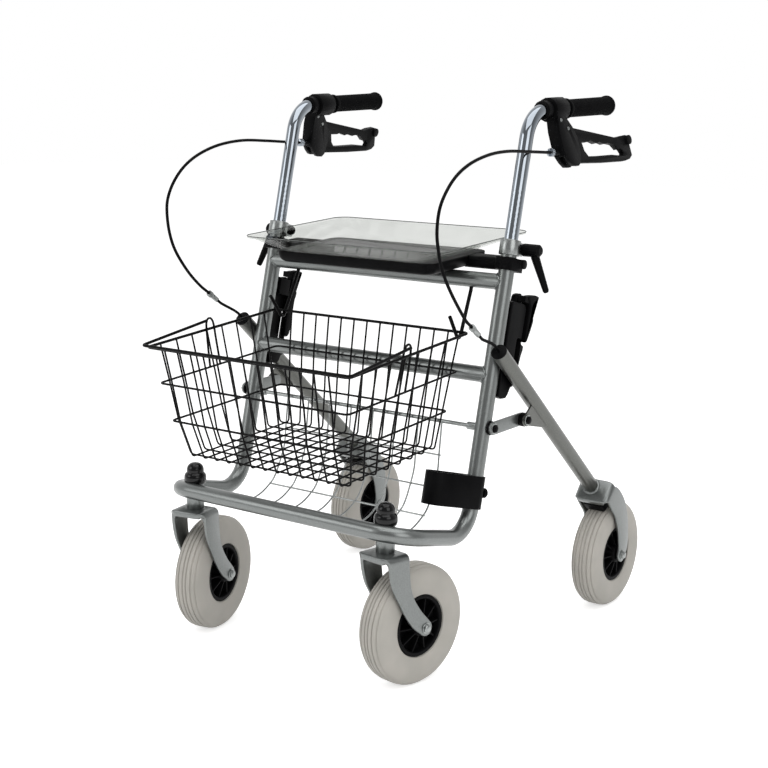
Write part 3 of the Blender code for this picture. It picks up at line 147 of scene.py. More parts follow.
def closed_skin(bm, rings):
    """The same, with a face at each end."""
    skin(bm, rings)
    bm.faces.new(rings[0])
    bm.faces.new(rings[-1])


def square_to(axis):
    """Two directions square to an axis and to each other."""
    first = axis.cross(Z)
    if first.length < 1e-3:
        first = axis.cross(Y)
    first.normalize()
    return first, axis.cross(first).normalized()


def circle(first, second, count):
    """Directions all the way round, in the plane of two that are square to each other."""
    angles = [2 * math.pi * k / count for k in range(count)]
    return [first * math.cos(angle) + second * math.sin(angle) for angle in angles]


# %% Tubes
def tube(bm, path, radius, sides, loop=False):
    """A round bar along a path. The radius may be a list, with one value for each point."""
    count = len(path)
    radii = radius if isinstance(radius, list) else [radius] * count
    side = None
    rings = []
    for k, point in enumerate(path):
        before = path[k - 1] if loop else path[max(k - 1, 0)]
        after = path[(k + 1) % count] if loop else path[min(k + 1, count - 1)]
        along = (after - before).normalized()
        if side is None:
            side, _ = square_to(along)
        side = (side - along * side.dot(along)).normalized()
        spokes = circle(side, along.cross(side), sides)
        rings.append([bm.verts.new(point + spoke * radii[k]) for spoke in spokes])
    if loop:
        turn = min(range(sides), key=lambda n: (rings[-1][n].co - rings[0][0].co).length)
        skin(bm, rings)
        skin(bm, [rings[-1][turn:] + rings[-1][:turn], rings[0]])
    else:
        closed_skin(bm, rings)
    return bm


# %% [markdown]
# A lathe turns a bar against a knife. Here an outline goes once round an axis instead, and a point on the
# axis is only one vertex. A Screw modifier could do it too, but this way several forms can share one mesh.

# %% Turned forms
def turned(bm, profile, centre, axis, sides):
    """A form turned round an axis, from a closed outline of (distance along it, radius)."""
    axis = axis.normalized()
    spokes = circle(*square_to(axis), sides)
    rings = []
    for along, radius in profile:
        middle = centre + axis * along
        if radius == 0:
            rings.append([bm.verts.new(middle)])
        else:
            rings.append([bm.verts.new(middle + spoke * radius) for spoke in spokes])
    skin(bm, rings, closed=True)
    return bm


def both_ends(half):
    """An outline of (distance along, radius), and its mirror image at the other end."""
    return half + [(-along, radius) for along, radius in reversed(half)]


# %% [markdown]
# A moulding is a flat outline with some thickness, and no moulded edge is quite sharp. So the outline is
# drawn a little smaller at both faces and grows to its full size along a quarter circle.

# %% Mouldings
def inset(outline, distance):
    """The outline moved inwards, each corner along the middle of its two edges."""
    area = sum(a[0] * b[1] - b[0] * a[1] for a, b in zip(outline, outline[1:] + outline[:1]))
    way = 1 if area > 0 else -1
    moved = []
    for before, point, after in zip(outline[-1:] + outline[:-1], outline, outline[1:] + outline[:1]):
        into = Vector((point[0] - before[0], point[1] - before[1])).normalized()
        out = Vector((after[0] - point[0], after[1] - point[1])).normalized()
        normal = Vector((-into.y - out.y, into.x + out.x)) * way
        if normal.length < 1e-6:
            moved.append(point)
            continue
        normal.normalize()
        spread = max(0.5, normal.dot(Vector((-into.y, into.x)) * way))
        moved.append((point[0] + normal.x * distance / spread, point[1] + normal.y * distance / spread))
    return moved


def moulded(bm, outline, directions, start, end, origin, edge=0.001, steps=3):
    """A flat outline drawn out along the third direction, with its rims rounded."""
    across, upward, along = directions
    rings = []
    for face, inward in ((start, 1), (end, -1)):
        turns = range(steps + 1) if inward == 1 else range(steps, -1, -1)
        for k in turns:
            angle = math.pi / 2 * k / steps
            shape = inset(outline, edge * (1 - math.sin(angle)))
            base = origin + along * (face + inward * edge * (1 - math.cos(angle)))
            rings.append([bm.verts.new(base + across * a + upward * b) for a, b in shape])
    closed_skin(bm, rings)
    return bm


# %% [markdown]
# Paths and outlines are drawn with few points and then rounded, either with true arcs where a tube was
# bent round a die, or with one smooth curve through the points.

# %% Paths and outlines
def filleted(corners, radius, steps=10):
    """A path through straight runs whose inner corners are round."""
    path = [corners[0]]
    for before, corner, after in zip(corners, corners[1:], corners[2:]):
        path += bend(before, corner, after, radius, steps)
    path.append(corners[-1])
    return path


def bend(before, corner, after, radius, steps):
    """The arc that takes a path round one corner."""
    inward = (before - corner).normalized()
    outward = (after - corner).normalized()
    half = inward.angle(outward) / 2
    reach = radius / math.tan(half)
    middle = corner + (inward + outward).normalized() * (radius / math.sin(half))
    start = corner + inward * reach - middle
    end = corner + outward * reach - middle
    turn = start.angle(end)
    points = []
    for k in range(steps + 1):
        share = k / steps
        arm = start * math.sin((1 - share) * turn) + end * math.sin(share * turn)
        points.append(middle + arm / math.sin(turn))
    return points


def round_loop(corners, radius, steps=8):
    """A closed path whose corners are all round."""
    path = []
    for before, corner, after in zip(corners[-1:] + corners[:-1], corners, corners[1:] + corners[:1]):
        path += bend(before, corner, after, radius, steps)
    return path


def smooth(points, steps=6, loop=False):
    """One smooth curve through the points."""
    if loop:
        ends = [points[-1]] + points + points[:2]
    else:
        ends = [points[0] * 2 - points[1]] + points + [points[-1] * 2 - points[-2]]
    curve = []
    for a, b, c, d in zip(ends, ends[1:], ends[2:], ends[3:]):
        for k in range(steps):
            t = k / steps
            curve.append(0.5 * (b * 2 + (c - a) * t + (a * 2 - b * 5 + c * 4 - d) * t ** 2
                                + (b * 3 - a - c * 3 + d) * t ** 3))
    if not loop:
        curve.append(points[-1])
    return curve


def smooth_outline(points, steps=4):
    """A closed outline of (a, b) points as one smooth curve."""
    return [tuple(point) for point in smooth([Vector(point) for point in points], steps, loop=True)]


def arc(centre, radius, start, end, steps):
    """Points of (a, b) on an arc, with its angles in degrees."""
    points = []
    for k in range(steps + 1):
        angle = math.radians(start + (end - start) * k / steps)
        points.append((centre[0] + radius * math.cos(angle), centre[1] + radius * math.sin(angle)))
    return points


def rectangle(left, bottom, right, top):
    return [(left, bottom), (right, bottom), (right, top), (left, top)]


def rounded_rectangle(left, bottom, right, top, radius, steps=6):
    return (
        arc((right - radius, top - radius), radius, 0, 90, steps)
        + arc((left + radius, top - radius), radius, 90, 180, steps)
        + arc((left + radius, bottom + radius), radius, 180, 270, steps)
        + arc((right - radius, bottom + radius), radius, 270, 360, steps)
    )


# %% [markdown]
# A finished piece is smooth, with its real corners kept sharp. It names the CAD body that it rides on,
# the CAD nodes that it stands for and its finish.


def placed(name, data):
    """A new object with this data, in the scene."""
    made = bpy.data.objects.new(name, data)
    bpy.context.scene.collection.objects.link(made)
    return made


def piece(bm, name, finish, body, nodes=(), sharp=35):
    """Makes an object of the mesh, and hands it to the frame when it is given a body."""
    bmesh.ops.recalc_face_normals(bm, faces=bm.faces)
    mesh = bpy.data.meshes.new(name)
    bm.to_mesh(mesh)
    bm.free()
    mesh.shade_smooth()
    mesh.set_sharp_from_angle(angle=math.radians(sharp))
    mesh.materials.append(finish)
    made = placed(name, mesh)
    if body:
        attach(made, body)
    if nodes:
        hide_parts(*nodes)
    print("Made", name, "with", len(mesh.polygons), "faces")
    return made


def pair(bm, name, finish, body, nodes=()):
    """The left piece, and its mirror twin on the right."""
    twin = bm.copy()
    for vertex in twin.verts:
        vertex.co = mirrored(vertex.co)
    bmesh.ops.reverse_faces(twin, faces=twin.faces)
    for side, mesh in (("left", bm), ("right", twin)):
        ridden = body if body in frame["bodies"] else body + "_" + side
        piece(mesh, name + "_" + side, finish, ridden, [node + "_" + side for node in nodes])


# %% [markdown]
# Some CAD solids already have their real shape. They stay, with a new finish. Modifiers first join their
# triangles to flat faces, and then round the edges, so that a highlight can run along them.

# %% Kept CAD solids
CORNER_ANGLE = math.radians(38)


def kept(node, finish, edge=0.0):
    """A CAD node that keeps its shape: it gets its finish and, where it is moulded, rounded edges."""
    solid = frame["nodes"][node]
    solid.data.materials.clear()
    solid.data.materials.append(finish)
    if edge:
        weld = solid.modifiers.new("Weld", "WELD")
        weld.merge_threshold = 1e-5
        flat = solid.modifiers.new("Flat faces", "DECIMATE")
        flat.decimate_type = "DISSOLVE"
        flat.angle_limit = math.radians(1)
        rim = solid.modifiers.new("Rounded edges", "BEVEL")
        rim.width = edge
        rim.segments = 2
        rim.limit_method = "ANGLE"
        rim.angle_limit = CORNER_ANGLE
        rim.use_clamp_overlap = True
    solid.data.shade_smooth()
    solid.data.set_sharp_from_angle(angle=CORNER_ANGLE)
    print("Kept", node)


# %% [markdown]
# ## Finishes
# Each finish is one Principled shader with a few nodes before it. Colours are written as sRGB hex values,
# the way a paint chart gives them, and turned to linear here. Patterns are scaled by real sizes: a
# texture's scale is one over the size in metres.

# %% Material helpers
def linear(hex_colour):
    """A hex sRGB colour as linear red, green, blue and alpha."""
    values = []
    for k in (0, 2, 4):
        value = int(hex_colour[k:k + 2], 16) / 255
        values.append(value / 12.92 if value <= 0.04045 else ((value + 0.055) / 1.055) ** 2.4)
    return (*values, 1.0)


def add_node(finish, kind, links=None, **settings):
    """Adds a shader node. Settings fill its sockets or properties, and links bring in other nodes."""
    made = finish.node_tree.nodes.new("ShaderNode" + kind)
    for name, value in settings.items():
        socket = name.replace("_", " ").title()
        if socket in made.inputs:
            made.inputs[socket].default_value = value
        else:
            setattr(made, name, value)
    for name, source in (links or {}).items():
        finish.node_tree.links.new(source, made.inputs[name])
    return made


def new_finish(name, slot, **sockets):
    """A material with a Principled shader, and the sockets that are the same all over the surface."""
    finish = bpy.data.materials.new(name)
    finish.use_nodes = True
    shader = finish.node_tree.nodes["Principled BSDF"]
    for socket, value in sockets.items():
        title = socket.replace("_", " ").title().replace("Ior", "IOR")
        shader.inputs[title].default_value = value
    return finish, shader


def shade(finish, shader, pattern, dark, light):
    """Lets a pattern move the colour between two close shades."""
    ramp = add_node(finish, "ValToRGB", {"Fac": pattern})
    for k, place, colour in ((0, 0.3, dark), (1, 0.7, light)):
        ramp.color_ramp.elements[k].position = place
        ramp.color_ramp.elements[k].color = linear(colour)
    finish.node_tree.links.new(ramp.outputs["Color"], shader.inputs["Base Color"])


def roughen(finish, shader, pattern, low, high):
    """Lets a pattern move the roughness between two values."""
    spread = add_node(finish, "MapRange", {"Value": pattern}, to_min=low, to_max=high)
    finish.node_tree.links.new(spread.outputs["Result"], shader.inputs["Roughness"])


def emboss(finish, shader, pattern, depth, strength):
    """Turns a pattern into small hills on the surface."""
    bump = add_node(finish, "Bump", {"Height": pattern}, strength=strength, distance=depth)
    finish.node_tree.links.new(bump.outputs["Normal"], shader.inputs["Normal"])


def position(finish):
    """Where a point is on the piece, in metres, whatever its shape."""
    return add_node(finish, "TexCoord").outputs["Object"]


def per_mm(size):
    """The scale of a pattern whose repeat is this many millimetres."""
    return 1000 / size


# %% [markdown]
# The bent frame is steel tube with a silver powder coat. The powder holds aluminium flake, which makes
# it a little metallic, and it levels out with the faint waviness that painters call orange peel. The legs
# have a darker, warmer copy of the same coat, which is painted shade.

# %% Powder-coated steel
def powder_coated_steel(name, dark, light):
    finish, shader = new_finish(name, "silver_paint", metallic=0.85, coat_weight=0.1, coat_roughness=0.2)
    place = position(finish)
    flake = add_node(finish, "TexVoronoi", {"Vector": place}, scale=per_mm(0.6))
    shade(finish, shader, flake.outputs["Color"], dark, light)
    peel = add_node(finish, "TexNoise", {"Vector": place}, scale=per_mm(4.0), detail=2.0)
    roughen(finish, shader, peel.outputs["Fac"], 0.27, 0.34)
    emboss(finish, shader, peel.outputs["Fac"], 0.00003, 0.3)
    return finish


# %% [markdown]
# The forks and struts are die-cast aluminium, tumbled and painted silver. Casting leaves a soft skin
# that shows in broad highlights.

# %% Cast aluminium
def cast_aluminium():
    finish, shader = new_finish("cast_aluminium", "cast_metal", metallic=0.85, coat_weight=0.12,
                                coat_roughness=0.15)
    place = position(finish)
    skin_grain = add_node(finish, "TexNoise", {"Vector": place}, scale=per_mm(2.5), detail=3.0)
    shade(finish, shader, skin_grain.outputs["Fac"], "6F7271", "797C7B")
    flow = add_node(finish, "TexNoise", {"Vector": place}, scale=per_mm(12.0), detail=2.0)
    roughen(finish, shader, flow.outputs["Fac"], 0.27, 0.36)
    emboss(finish, shader, skin_grain.outputs["Fac"], 0.00002, 0.15)
    return finish


# %% [markdown]
# The handle posts are chrome-plated tube. Their lower part is rolled with rows of small dimples, which
# keep the clamp from slipping; above it the plating is a plain mirror.

# %% Chrome plate
DIMPLE_TOP = 0.748


def chrome_plate():
    finish, shader = new_finish("mirror_chrome", "chrome_plate", metallic=1.0, roughness=0.05)
    place = position(finish)
    tint = add_node(finish, "TexNoise", {"Vector": place}, scale=per_mm(60.0), detail=1.0)
    shade(finish, shader, tint.outputs["Fac"], "878D94", "969CA2")
    height = add_node(finish, "SeparateXYZ", {"Vector": place})
    below = add_node(finish, "Math", {0: height.outputs["Z"]}, operation="LESS_THAN")
    below.inputs[1].default_value = DIMPLE_TOP
    dimple = add_node(finish, "TexVoronoi", {"Vector": place}, scale=per_mm(1.9), randomness=0.2)
    hollow = add_node(finish, "Math", {0: dimple.outputs["Distance"], 1: below.outputs["Value"]},
                      operation="MULTIPLY")
    emboss(finish, shader, hollow.outputs["Value"], 0.0002, 0.35)
    return finish


# %% [markdown]
# The guard's wires, the collars and the axles are zinc-plated steel: bright, but softer and greyer than
# chrome.

# %% Zinc plate
def zinc_plated_steel():
    finish, shader = new_finish("bright_zinc", "zinc_plate", metallic=1.0)
    place = position(finish)
    spangle = add_node(finish, "TexNoise", {"Vector": place}, scale=per_mm(3.0), detail=3.0)
    shade(finish, shader, spangle.outputs["Fac"], "868988", "9B9E9D")
    roughen(finish, shader, spangle.outputs["Fac"], 0.22, 0.38)
    emboss(finish, shader, spangle.outputs["Fac"], 0.00004, 0.5)
    return finish


# %% [markdown]
# Seat, brakes, hubs and caps are moulded in black nylon or polypropylene. The mould is spark-eroded, so
# the plastic has a fine leather-like grain that breaks up its highlights.

# %% Moulded black plastic
def moulded_black_plastic():
    finish, shader = new_finish("moulded_black_plastic", "black_plastic", ior=1.5, specular_ior_level=0.045)
    place = position(finish)
    grain = add_node(finish, "TexNoise", {"Vector": place}, scale=per_mm(0.9), detail=4.0)
    broad = add_node(finish, "TexNoise", {"Vector": place}, scale=per_mm(25.0), detail=2.0)
    shade(finish, shader, broad.outputs["Fac"], "060607", "0B0B0C")
    roughen(finish, shader, grain.outputs["Fac"], 0.36, 0.52)
    emboss(finish, shader, grain.outputs["Fac"], 0.00012, 0.5)
    return finish


# %% [markdown]
# The caps over the casters come from a polished mould, so the same plastic is glossy there.

# %% Polished black plastic
def polished_black_plastic():
    finish, shader = new_finish("polished_black_plastic", "black_plastic", ior=1.5, specular_ior_level=0.3)
    place = position(finish)
    broad = add_node(finish, "TexNoise", {"Vector": place}, scale=per_mm(25.0), detail=2.0)
    shade(finish, shader, broad.outputs["Fac"], "050506", "09090A")
    roughen(finish, shader, broad.outputs["Fac"], 0.10, 0.16)
    return finish


# %% [markdown]
# The basket is steel wire dipped in black PVC, which draws up round each crossing and dries with a
# smooth, half-glossy skin.

# %% Dipped wire
def dipped_wire():
    finish, shader = new_finish("dipped_black_wire", "black_coating", ior=1.52, specular_ior_level=0.06)
    place = position(finish)
    wave = add_node(finish, "TexNoise", {"Vector": place}, scale=per_mm(5.0), detail=2.0)
    shade(finish, shader, wave.outputs["Fac"], "050505", "0A0A0B")
    roughen(finish, shader, wave.outputs["Fac"], 0.28, 0.42)
    emboss(finish, shader, wave.outputs["Fac"], 0.00015, 0.5)
    return finish


# %% [markdown]
# The grips are soft thermoplastic rubber. It has almost no shine, only a dull sheen on its ribs.

# %% Grip rubber
def grip_rubber():
    finish, shader = new_finish("soft_rubber", "grip_rubber", ior=1.5, specular_ior_level=0.035)
    place = position(finish)
    bloom = add_node(finish, "TexNoise", {"Vector": place}, scale=per_mm(8.0), detail=3.0)
    shade(finish, shader, bloom.outputs["Fac"], "060607", "0B0B0C")
    roughen(finish, shader, bloom.outputs["Fac"], 0.58, 0.72)
    pores = add_node(finish, "TexNoise", {"Vector": place}, scale=per_mm(0.7), detail=3.0)
    emboss(finish, shader, pores.outputs["Fac"], 0.00012, 0.5)
    return finish


# %% [markdown]
# The tyres are solid grey elastomer. They don't mark floors, and dust makes them a little uneven.

# %% Grey tyre
def grey_tyre():
    finish, shader = new_finish("grey_tyre", "tyre_grey", ior=1.5, sheen_weight=0.1, sheen_roughness=0.6)
    place = position(finish)
    dust = add_node(finish, "TexNoise", {"Vector": place}, scale=per_mm(45.0), detail=2.0)
    shade(finish, shader, dust.outputs["Fac"], "A19E97", "ABA7A0")
    roughen(finish, shader, dust.outputs["Fac"], 0.62, 0.76)
    pores = add_node(finish, "TexNoise", {"Vector": place}, scale=per_mm(0.8), detail=3.0)
    emboss(finish, shader, pores.outputs["Fac"], 0.0001, 0.45)
    return finish


# %% [markdown]
# The tray is clear acrylic, injection-moulded and a little smoked. A thin wall with parallel faces bends
# light very little, so the IOR is 1 here, and a coat gives the wall its reflections. Seen along the wall,
# clear plastic looks darker, and that thin line round the rim is painted shade: a dark bead of its own.

# %% Clear tray plastic
def clear_acrylic():
    finish, shader = new_finish("clear_acrylic", "clear_plastic", ior=1.0, transmission_weight=1.0,
                                coat_weight=0.35, coat_roughness=0.04)
    place = position(finish)
    haze = add_node(finish, "TexNoise", {"Vector": place}, scale=per_mm(40.0), detail=2.0)
    shade(finish, shader, haze.outputs["Fac"], "D2D4D1", "D8DAD7")
    roughen(finish, shader, haze.outputs["Fac"], 0.01, 0.03)
    return finish


# finish of the dark rim bead: painted shade, where a clear wall seen on edge looks dark
def painted_rim_shade():
    finish, shader = new_finish("painted_rim_shade", "clear_plastic", ior=1.0, transmission_weight=0.35,
                                coat_weight=0.6, coat_roughness=0.05)
    place = position(finish)
    haze = add_node(finish, "TexNoise", {"Vector": place}, scale=per_mm(30.0), detail=2.0)
    shade(finish, shader, haze.outputs["Fac"], "585B59", "6C6F6D")
    roughen(finish, shader, haze.outputs["Fac"], 0.1, 0.2)
    return finish


# %% [markdown]
# Each finish is made once here, and every piece that has it shares it. The legs' darker copy of the silver
# paint is painted shade.

# %% All the finishes
powder = powder_coated_steel("silver_powder_coat", "707372", "7B7E7D")
# the legs' copy of the silver coat is darker: painted shade
shaded_leg_powder = powder_coated_steel("painted_shade_powder_coat", "595A57", "646561")
cast = cast_aluminium()
chrome = chrome_plate()
zinc = zinc_plated_steel()
plastic = moulded_black_plastic()
polished = polished_black_plastic()
dipped = dipped_wire()
rubber = grip_rubber()
tyre = grey_tyre()
acrylic = clear_acrylic()
acrylic_rim_shade = painted_rim_shade()

# %% [markdown]
# ## The bent frame
# One 25.4 mm tube comes down the left upright, runs forward, crosses the front and goes back up on the
# right. A path with round bends and a tube round it gives this shape directly. A short sleeve for each
# caster is welded to the crossbar, so each gets a small bead of weld.

# %% Frame tube
TUBE_RADIUS = 0.0127
FRAME_BEND = 0.050
CROSSBAR = at(0, -0.018, 0.2527)
UPRIGHT_LENGTH = 0.4704
CASTER = pivot("caster_swivel_left")
SLEEVE = (0.220, 0.262)


def bent_frame():
    corners = there_and_back([on_upright(UPRIGHT_LENGTH), on_upright(0), X * HALF_WIDTH + CROSSBAR])
    bm = tube(bmesh.new(), filleted(corners, FRAME_BEND), TUBE_RADIUS, 32)
    for centre in (CASTER, mirrored(CASTER)):
        low, high = (Vector((centre.x, centre.y, z)) for z in SLEEVE)
        tube(bm, [low, low + Z * 0.001, high - Z * 0.001, high], [0.0140, 0.0145, 0.0145, 0.0140], 32)
        bead = [low.lerp(high, 0.16 + 0.1 * k) + Y * -0.0112 for k in range(7)]
        tube(bm, bead, [0.0020, 0.0031, 0.0034, 0.0035, 0.0034, 0.0031, 0.0020], 10)
    piece(bm, "bent_frame", powder, "frame", ["front_frame"])


bent_frame()

# %% [markdown]
# Two cross tubes are welded between the uprights. A welder cuts the end of such a tube to the shape of the
# tube that it meets. Here a few rings of points lie on that shape, just inside the upright's wall, so the
# handle post can slide past them. A thin ring of weld goes round each joint.

# %% Cross tubes
SEAT_TUBE_HEIGHT = 0.4037
MID_TUBE_HEIGHT = 0.2565
INTO_WALL = 0.0008
WELD_RADIUS = 0.0017
RING_SHARES = (0.0, 0.25, 0.5, 0.75, 1.0)


def saddle(behind):
    """How far out a cross tube reaches this far behind its middle."""
    return HALF_WIDTH + INTO_WALL - math.sqrt(TUBE_RADIUS ** 2 - (0.98 * behind) ** 2)


def cross_tube(height, name):
    middle = on_upright(height, x=0)
    bm = bmesh.new()
    rings = []
    for sign, shares in ((-1, RING_SHARES), (1, RING_SHARES[::-1])):
        for share in shares:
            ring = []
            for k in range(32 if share else 1):
                angle = 2 * math.pi * k / 32
                behind = math.cos(angle) * TUBE_RADIUS * share
                above = math.sin(angle) * TUBE_RADIUS * share
                end = middle + X * (sign * saddle(behind))
                ring.append(bm.verts.new(end + UP * above + BACK * behind))
            rings.append(ring)
    skin(bm, rings)
    for sign in (1, -1):
        weld = []
        for k in range(32):
            angle = 2 * math.pi * k / 32
            out = UP * math.sin(angle) + BACK * math.cos(angle)
            hug = HALF_WIDTH - math.sqrt(TUBE_RADIUS ** 2 * (1 - math.cos(angle) ** 2 * 0.98))
            weld.append(Vector((sign * (hug - 0.0005), middle.y, middle.z)) + out * TUBE_RADIUS)
        tube(bm, weld, WELD_RADIUS, 8, loop=True)
    piece(bm, name + "_smooth", powder, "frame", [name])


cross_tube(SEAT_TUBE_HEIGHT, "seat_cross_tube")
cross_tube(MID_TUBE_HEIGHT, "mid_cross_tube")

# %% [markdown]
# ## Handle posts and grips
# Each post is a thinner chrome tube that slides in its upright. It bends back at the top and runs on
# inside the grip, so it is one tube with one bend.

# %% Handle posts
POST_RADIUS = 0.0111
POST_TOP_Z = 0.8695
POST_BEND = 0.055
POST_BURIED = 0.146
GRIP_DIR = Vector((0.031, 1, 0.048)).normalized()
GRIP_START = 0.411
GRIP_END = 0.554


def post_corner():
    return on_upright((POST_TOP_Z - HEEL.z) / UP.z)


def grip_point(y):
    """A point on the left grip's axis, this far behind the casters."""
    corner = post_corner()
    return corner + GRIP_DIR * ((at(0, y, 0).y - corner.y) / GRIP_DIR.y)


def handle_posts():
    foot = on_upright(UPRIGHT_LENGTH - POST_BURIED)
    path = filleted([foot, post_corner(), grip_point(GRIP_END - 0.012)], POST_BEND, 20)
    pair(tube(bmesh.new(), path, POST_RADIUS, 40), "chrome_post", chrome, "handle", ["handle_post"])


handle_posts()

# %% [markdown]
# The grip is soft rubber with a rib every few millimetres and a collar at its mouth. The ribs catch the
# light, so they are real steps in a turned outline. A bump pattern would be flat at the edges.

# %% Ribbed grips
RIB_PITCH = 0.0036


def grip_profile(length):
    """Collar, ribs and a rounded end, as (distance, radius)."""
    outline = [(0, 0.0112), (0.0002, 0.0160), (0.0010, 0.0166), (0.0050, 0.0166), (0.0062, 0.0160),
               (0.0075, 0.0148), (0.0095, 0.0146)]
    count = int((length - 0.024) / RIB_PITCH)
    for k in range(count):
        start = 0.011 + RIB_PITCH * k
        swell = 0.0146 + 0.0004 * k / count
        outline += [(start, swell - 0.0006), (start + 0.0005, swell), (start + 0.0022, swell),
                    (start + 0.0027, swell - 0.0006)]
    outline += [(length - 0.0105, 0.0152), (length - 0.0075, 0.0156), (length - 0.0060, 0.0166),
                (length - 0.0030, 0.0168), (length - 0.0010, 0.0162), (length, 0.0145), (length, 0),
                (length - 0.010, 0), (length - 0.010, 0.0112)]
    return outline


def ribbed_grips():
    start = grip_point(GRIP_START)
    length = (grip_point(GRIP_END) - start).length
    bm = turned(bmesh.new(), grip_profile(length), start, GRIP_DIR, 48)
    pair(bm, "ribbed_grip", rubber, "handle", ["grip"])


ribbed_grips()

# %% [markdown]
# ## Wheels
# A wheel is a solid grey tyre with grooves round its tread, on a black moulded hub with spokes. Tyre and
# hub are turned, so each needs only one half of its section, and the other half is its mirror image.

# %% Tyre and hub sections
def tyre_outline():
    """Half of the tyre's section from the rim outwards, then its mirror, as (across, radius)."""
    half = [(0.0195, 0.0492), (0.0215, 0.0500), (0.0232, 0.0560), (0.0244, 0.0640), (0.0247, 0.0720),
            (0.0238, 0.0800), (0.0221, 0.0856), (0.0205, 0.0885), (0.0190, 0.0904), (0.0183, 0.0900),
            (0.0177, 0.0895), (0.0170, 0.0911), (0.0155, 0.0928), (0.0130, 0.0942), (0.0122, 0.0938),
            (0.0117, 0.0927), (0.0105, 0.0927), (0.0100, 0.0944), (0.0090, 0.0949), (0.0047, 0.0950),
            (0.0041, 0.0944), (0.0037, 0.0931), (0.0024, 0.0931), (0.0020, 0.0944), (0.0013, 0.0950)]
    return both_ends(half)


def hub_outline():
    """The hub's turned body: boss, web and rim."""
    half = [(0.0252, 0.0064), (0.0252, 0.0125), (0.0244, 0.0140), (0.0225, 0.0152), (0.0110, 0.0165),
            (0.0075, 0.0195), (0.0068, 0.0380), (0.0080, 0.0405), (0.0185, 0.0418), (0.0200, 0.0430),
            (0.0204, 0.0455), (0.0198, 0.0484), (0.0186, 0.0488)]
    return both_ends(half)


# %% [markdown]
# The spokes are thin ribs that stand on the hub's web, between its boss and its rim. Each is a small
# moulding, set round the axis.

# %% Wheels
SPOKES = 10
SPOKE_THICKNESS = 0.0024
CASTER_ACROSS = Vector(JOINTS["caster_spin_left"]["axis"])


def wheel(name, centre, axis, body):
    axis = axis.normalized()
    pair(turned(bmesh.new(), tyre_outline(), centre, axis, 96), name + "_grooved_tyre", tyre, body,
         [body + "_tyre"])
    bm = turned(bmesh.new(), hub_outline(), centre, axis, 64)
    rib = [(0.0145, -0.0225), (0.0145, 0.0225), (0.0420, 0.0178), (0.0420, -0.0178)]
    half = SPOKE_THICKNESS / 2
    for out in circle(*square_to(axis), SPOKES):
        moulded(bm, rib, (out, axis, axis.cross(out)), -half, half, centre, 0.0005, 2)
    pair(bm, name + "_spoked_hub", plastic, body, [body + "_hub"])


wheel("rear", pivot("rear_spin_left"), X, "rear_wheel")
wheel("caster", pivot("caster_spin_left"), CASTER_ACROSS, "caster_wheel")

# %% [markdown]
# A through bolt holds each wheel in its fork, with a washer and a domed nut at each end. One end is drawn,
# from the washer to the dome's tip, and mirrored.

# %% Axles
AXLE_END = [(0.0338, 0.0060), (0.0338, 0.0085), (0.0346, 0.0086), (0.0352, 0.0080), (0.0353, 0.0066),
            (0.0372, 0.0065), (0.0386, 0.0054), (0.0394, 0.0032), (0.0396, 0)]


def axle(name, centre, axis, body):
    bolt = turned(bmesh.new(), both_ends(AXLE_END), centre, axis, 32)
    pair(bolt, name + "_domed_axle", zinc, body, [name + "_wheel_axle"])


axle("rear", pivot("rear_spin_left"), X, "leg")
axle("caster", pivot("caster_spin_left"), CASTER_ACROSS, "caster")

# %% [markdown]
# ## Basket and guard
# A wire basket is made of U-shaped wires welded inside stronger frames. In this one the wires run from
# front to back and from side to side, and cross under the load. The basket widens upwards, so its shape is
# given at four levels, and each wire is a path through points between them. A wireframe of a box would be
# quicker, but its wires would all have the same thickness and sharp corners.

# %% Basket shape
# each level: share of the height, half width, front (y, z), rear (y, z)
BASKET_LEVELS = [
    (0.000, 0.158, (-0.0535, 0.3230), (0.1855, 0.3400)),
    (0.331, 0.170, (-0.0764, 0.3810), (0.1925, 0.4010)),
    (0.674, 0.1835, (-0.0887, 0.4410), (0.1985, 0.4655)),
    (1.000, 0.196, (-0.1030, 0.4980), (0.2068, 0.5265)),
]
BASKET_CORNER = 0.008
# how far the first wire stands from the corner, as a share of the wall
FLOOR_MARGIN = 0.037
RIM_MARGIN = 0.095


def basket_point(across, depth, level):
    """A point on the basket: across and depth run from 0 to 1, and level from the floor up to the rim."""
    for lower, upper in zip(BASKET_LEVELS, BASKET_LEVELS[1:]):
        if level <= upper[0]:
            break
    share = (level - lower[0]) / (upper[0] - lower[0])
    half = lower[1] + (upper[1] - lower[1]) * share
    front = Vector(lower[2]).lerp(Vector(upper[2]), share)
    rear = Vector(lower[3]).lerp(Vector(upper[3]), share)
    y, z = front.lerp(rear, depth)
    return at((2 * across - 1) * half, y, z)


def basket_ring(level):
    return round_loop([basket_point(a, b, level) for a, b in rectangle(0, 0, 1, 1)], BASKET_CORNER)


def basket_wire(k, count, front_to_back):
    """One wire down a wall, across the floor and up the other wall, more upright than the walls."""
    _, low, high, _ = (level[0] for level in BASKET_LEVELS)
    walk = [(1, 0), (high, 0), (low, 0), (0, 0), (0, 1), (low, 1), (high, 1), (1, 1)]
    points = []
    for level, end in walk:
        margin = FLOOR_MARGIN + (RIM_MARGIN - FLOOR_MARGIN) * level
        share = margin + (1 - 2 * margin) * k / (count - 1)
        points.append(basket_point(share, end, level) if front_to_back else basket_point(end, share, level))
    return filleted(points, 0.006, 4)


# %% [markdown]
# The rim is the thickest wire, and two thinner frames go round below it. An eye on each side, bent from one
# wire, holds the carrying handle.

# %% Wire basket
FRONT_WIRES = 13
SIDE_WIRES = 8
WIRE = 0.0015
FRAME_WIRE = WIRE * 1.15
RIM_WIRE = 0.0023
EYE_WIRE = 0.0018
EYE = [(0.1835, 0.028, 0.452), (0.1905, 0.030, 0.490), (0.1955, 0.0325, 0.521), (0.1965, 0.0405, 0.5285),
       (0.1955, 0.0485, 0.521), (0.1905, 0.051, 0.490), (0.1835, 0.053, 0.452)]


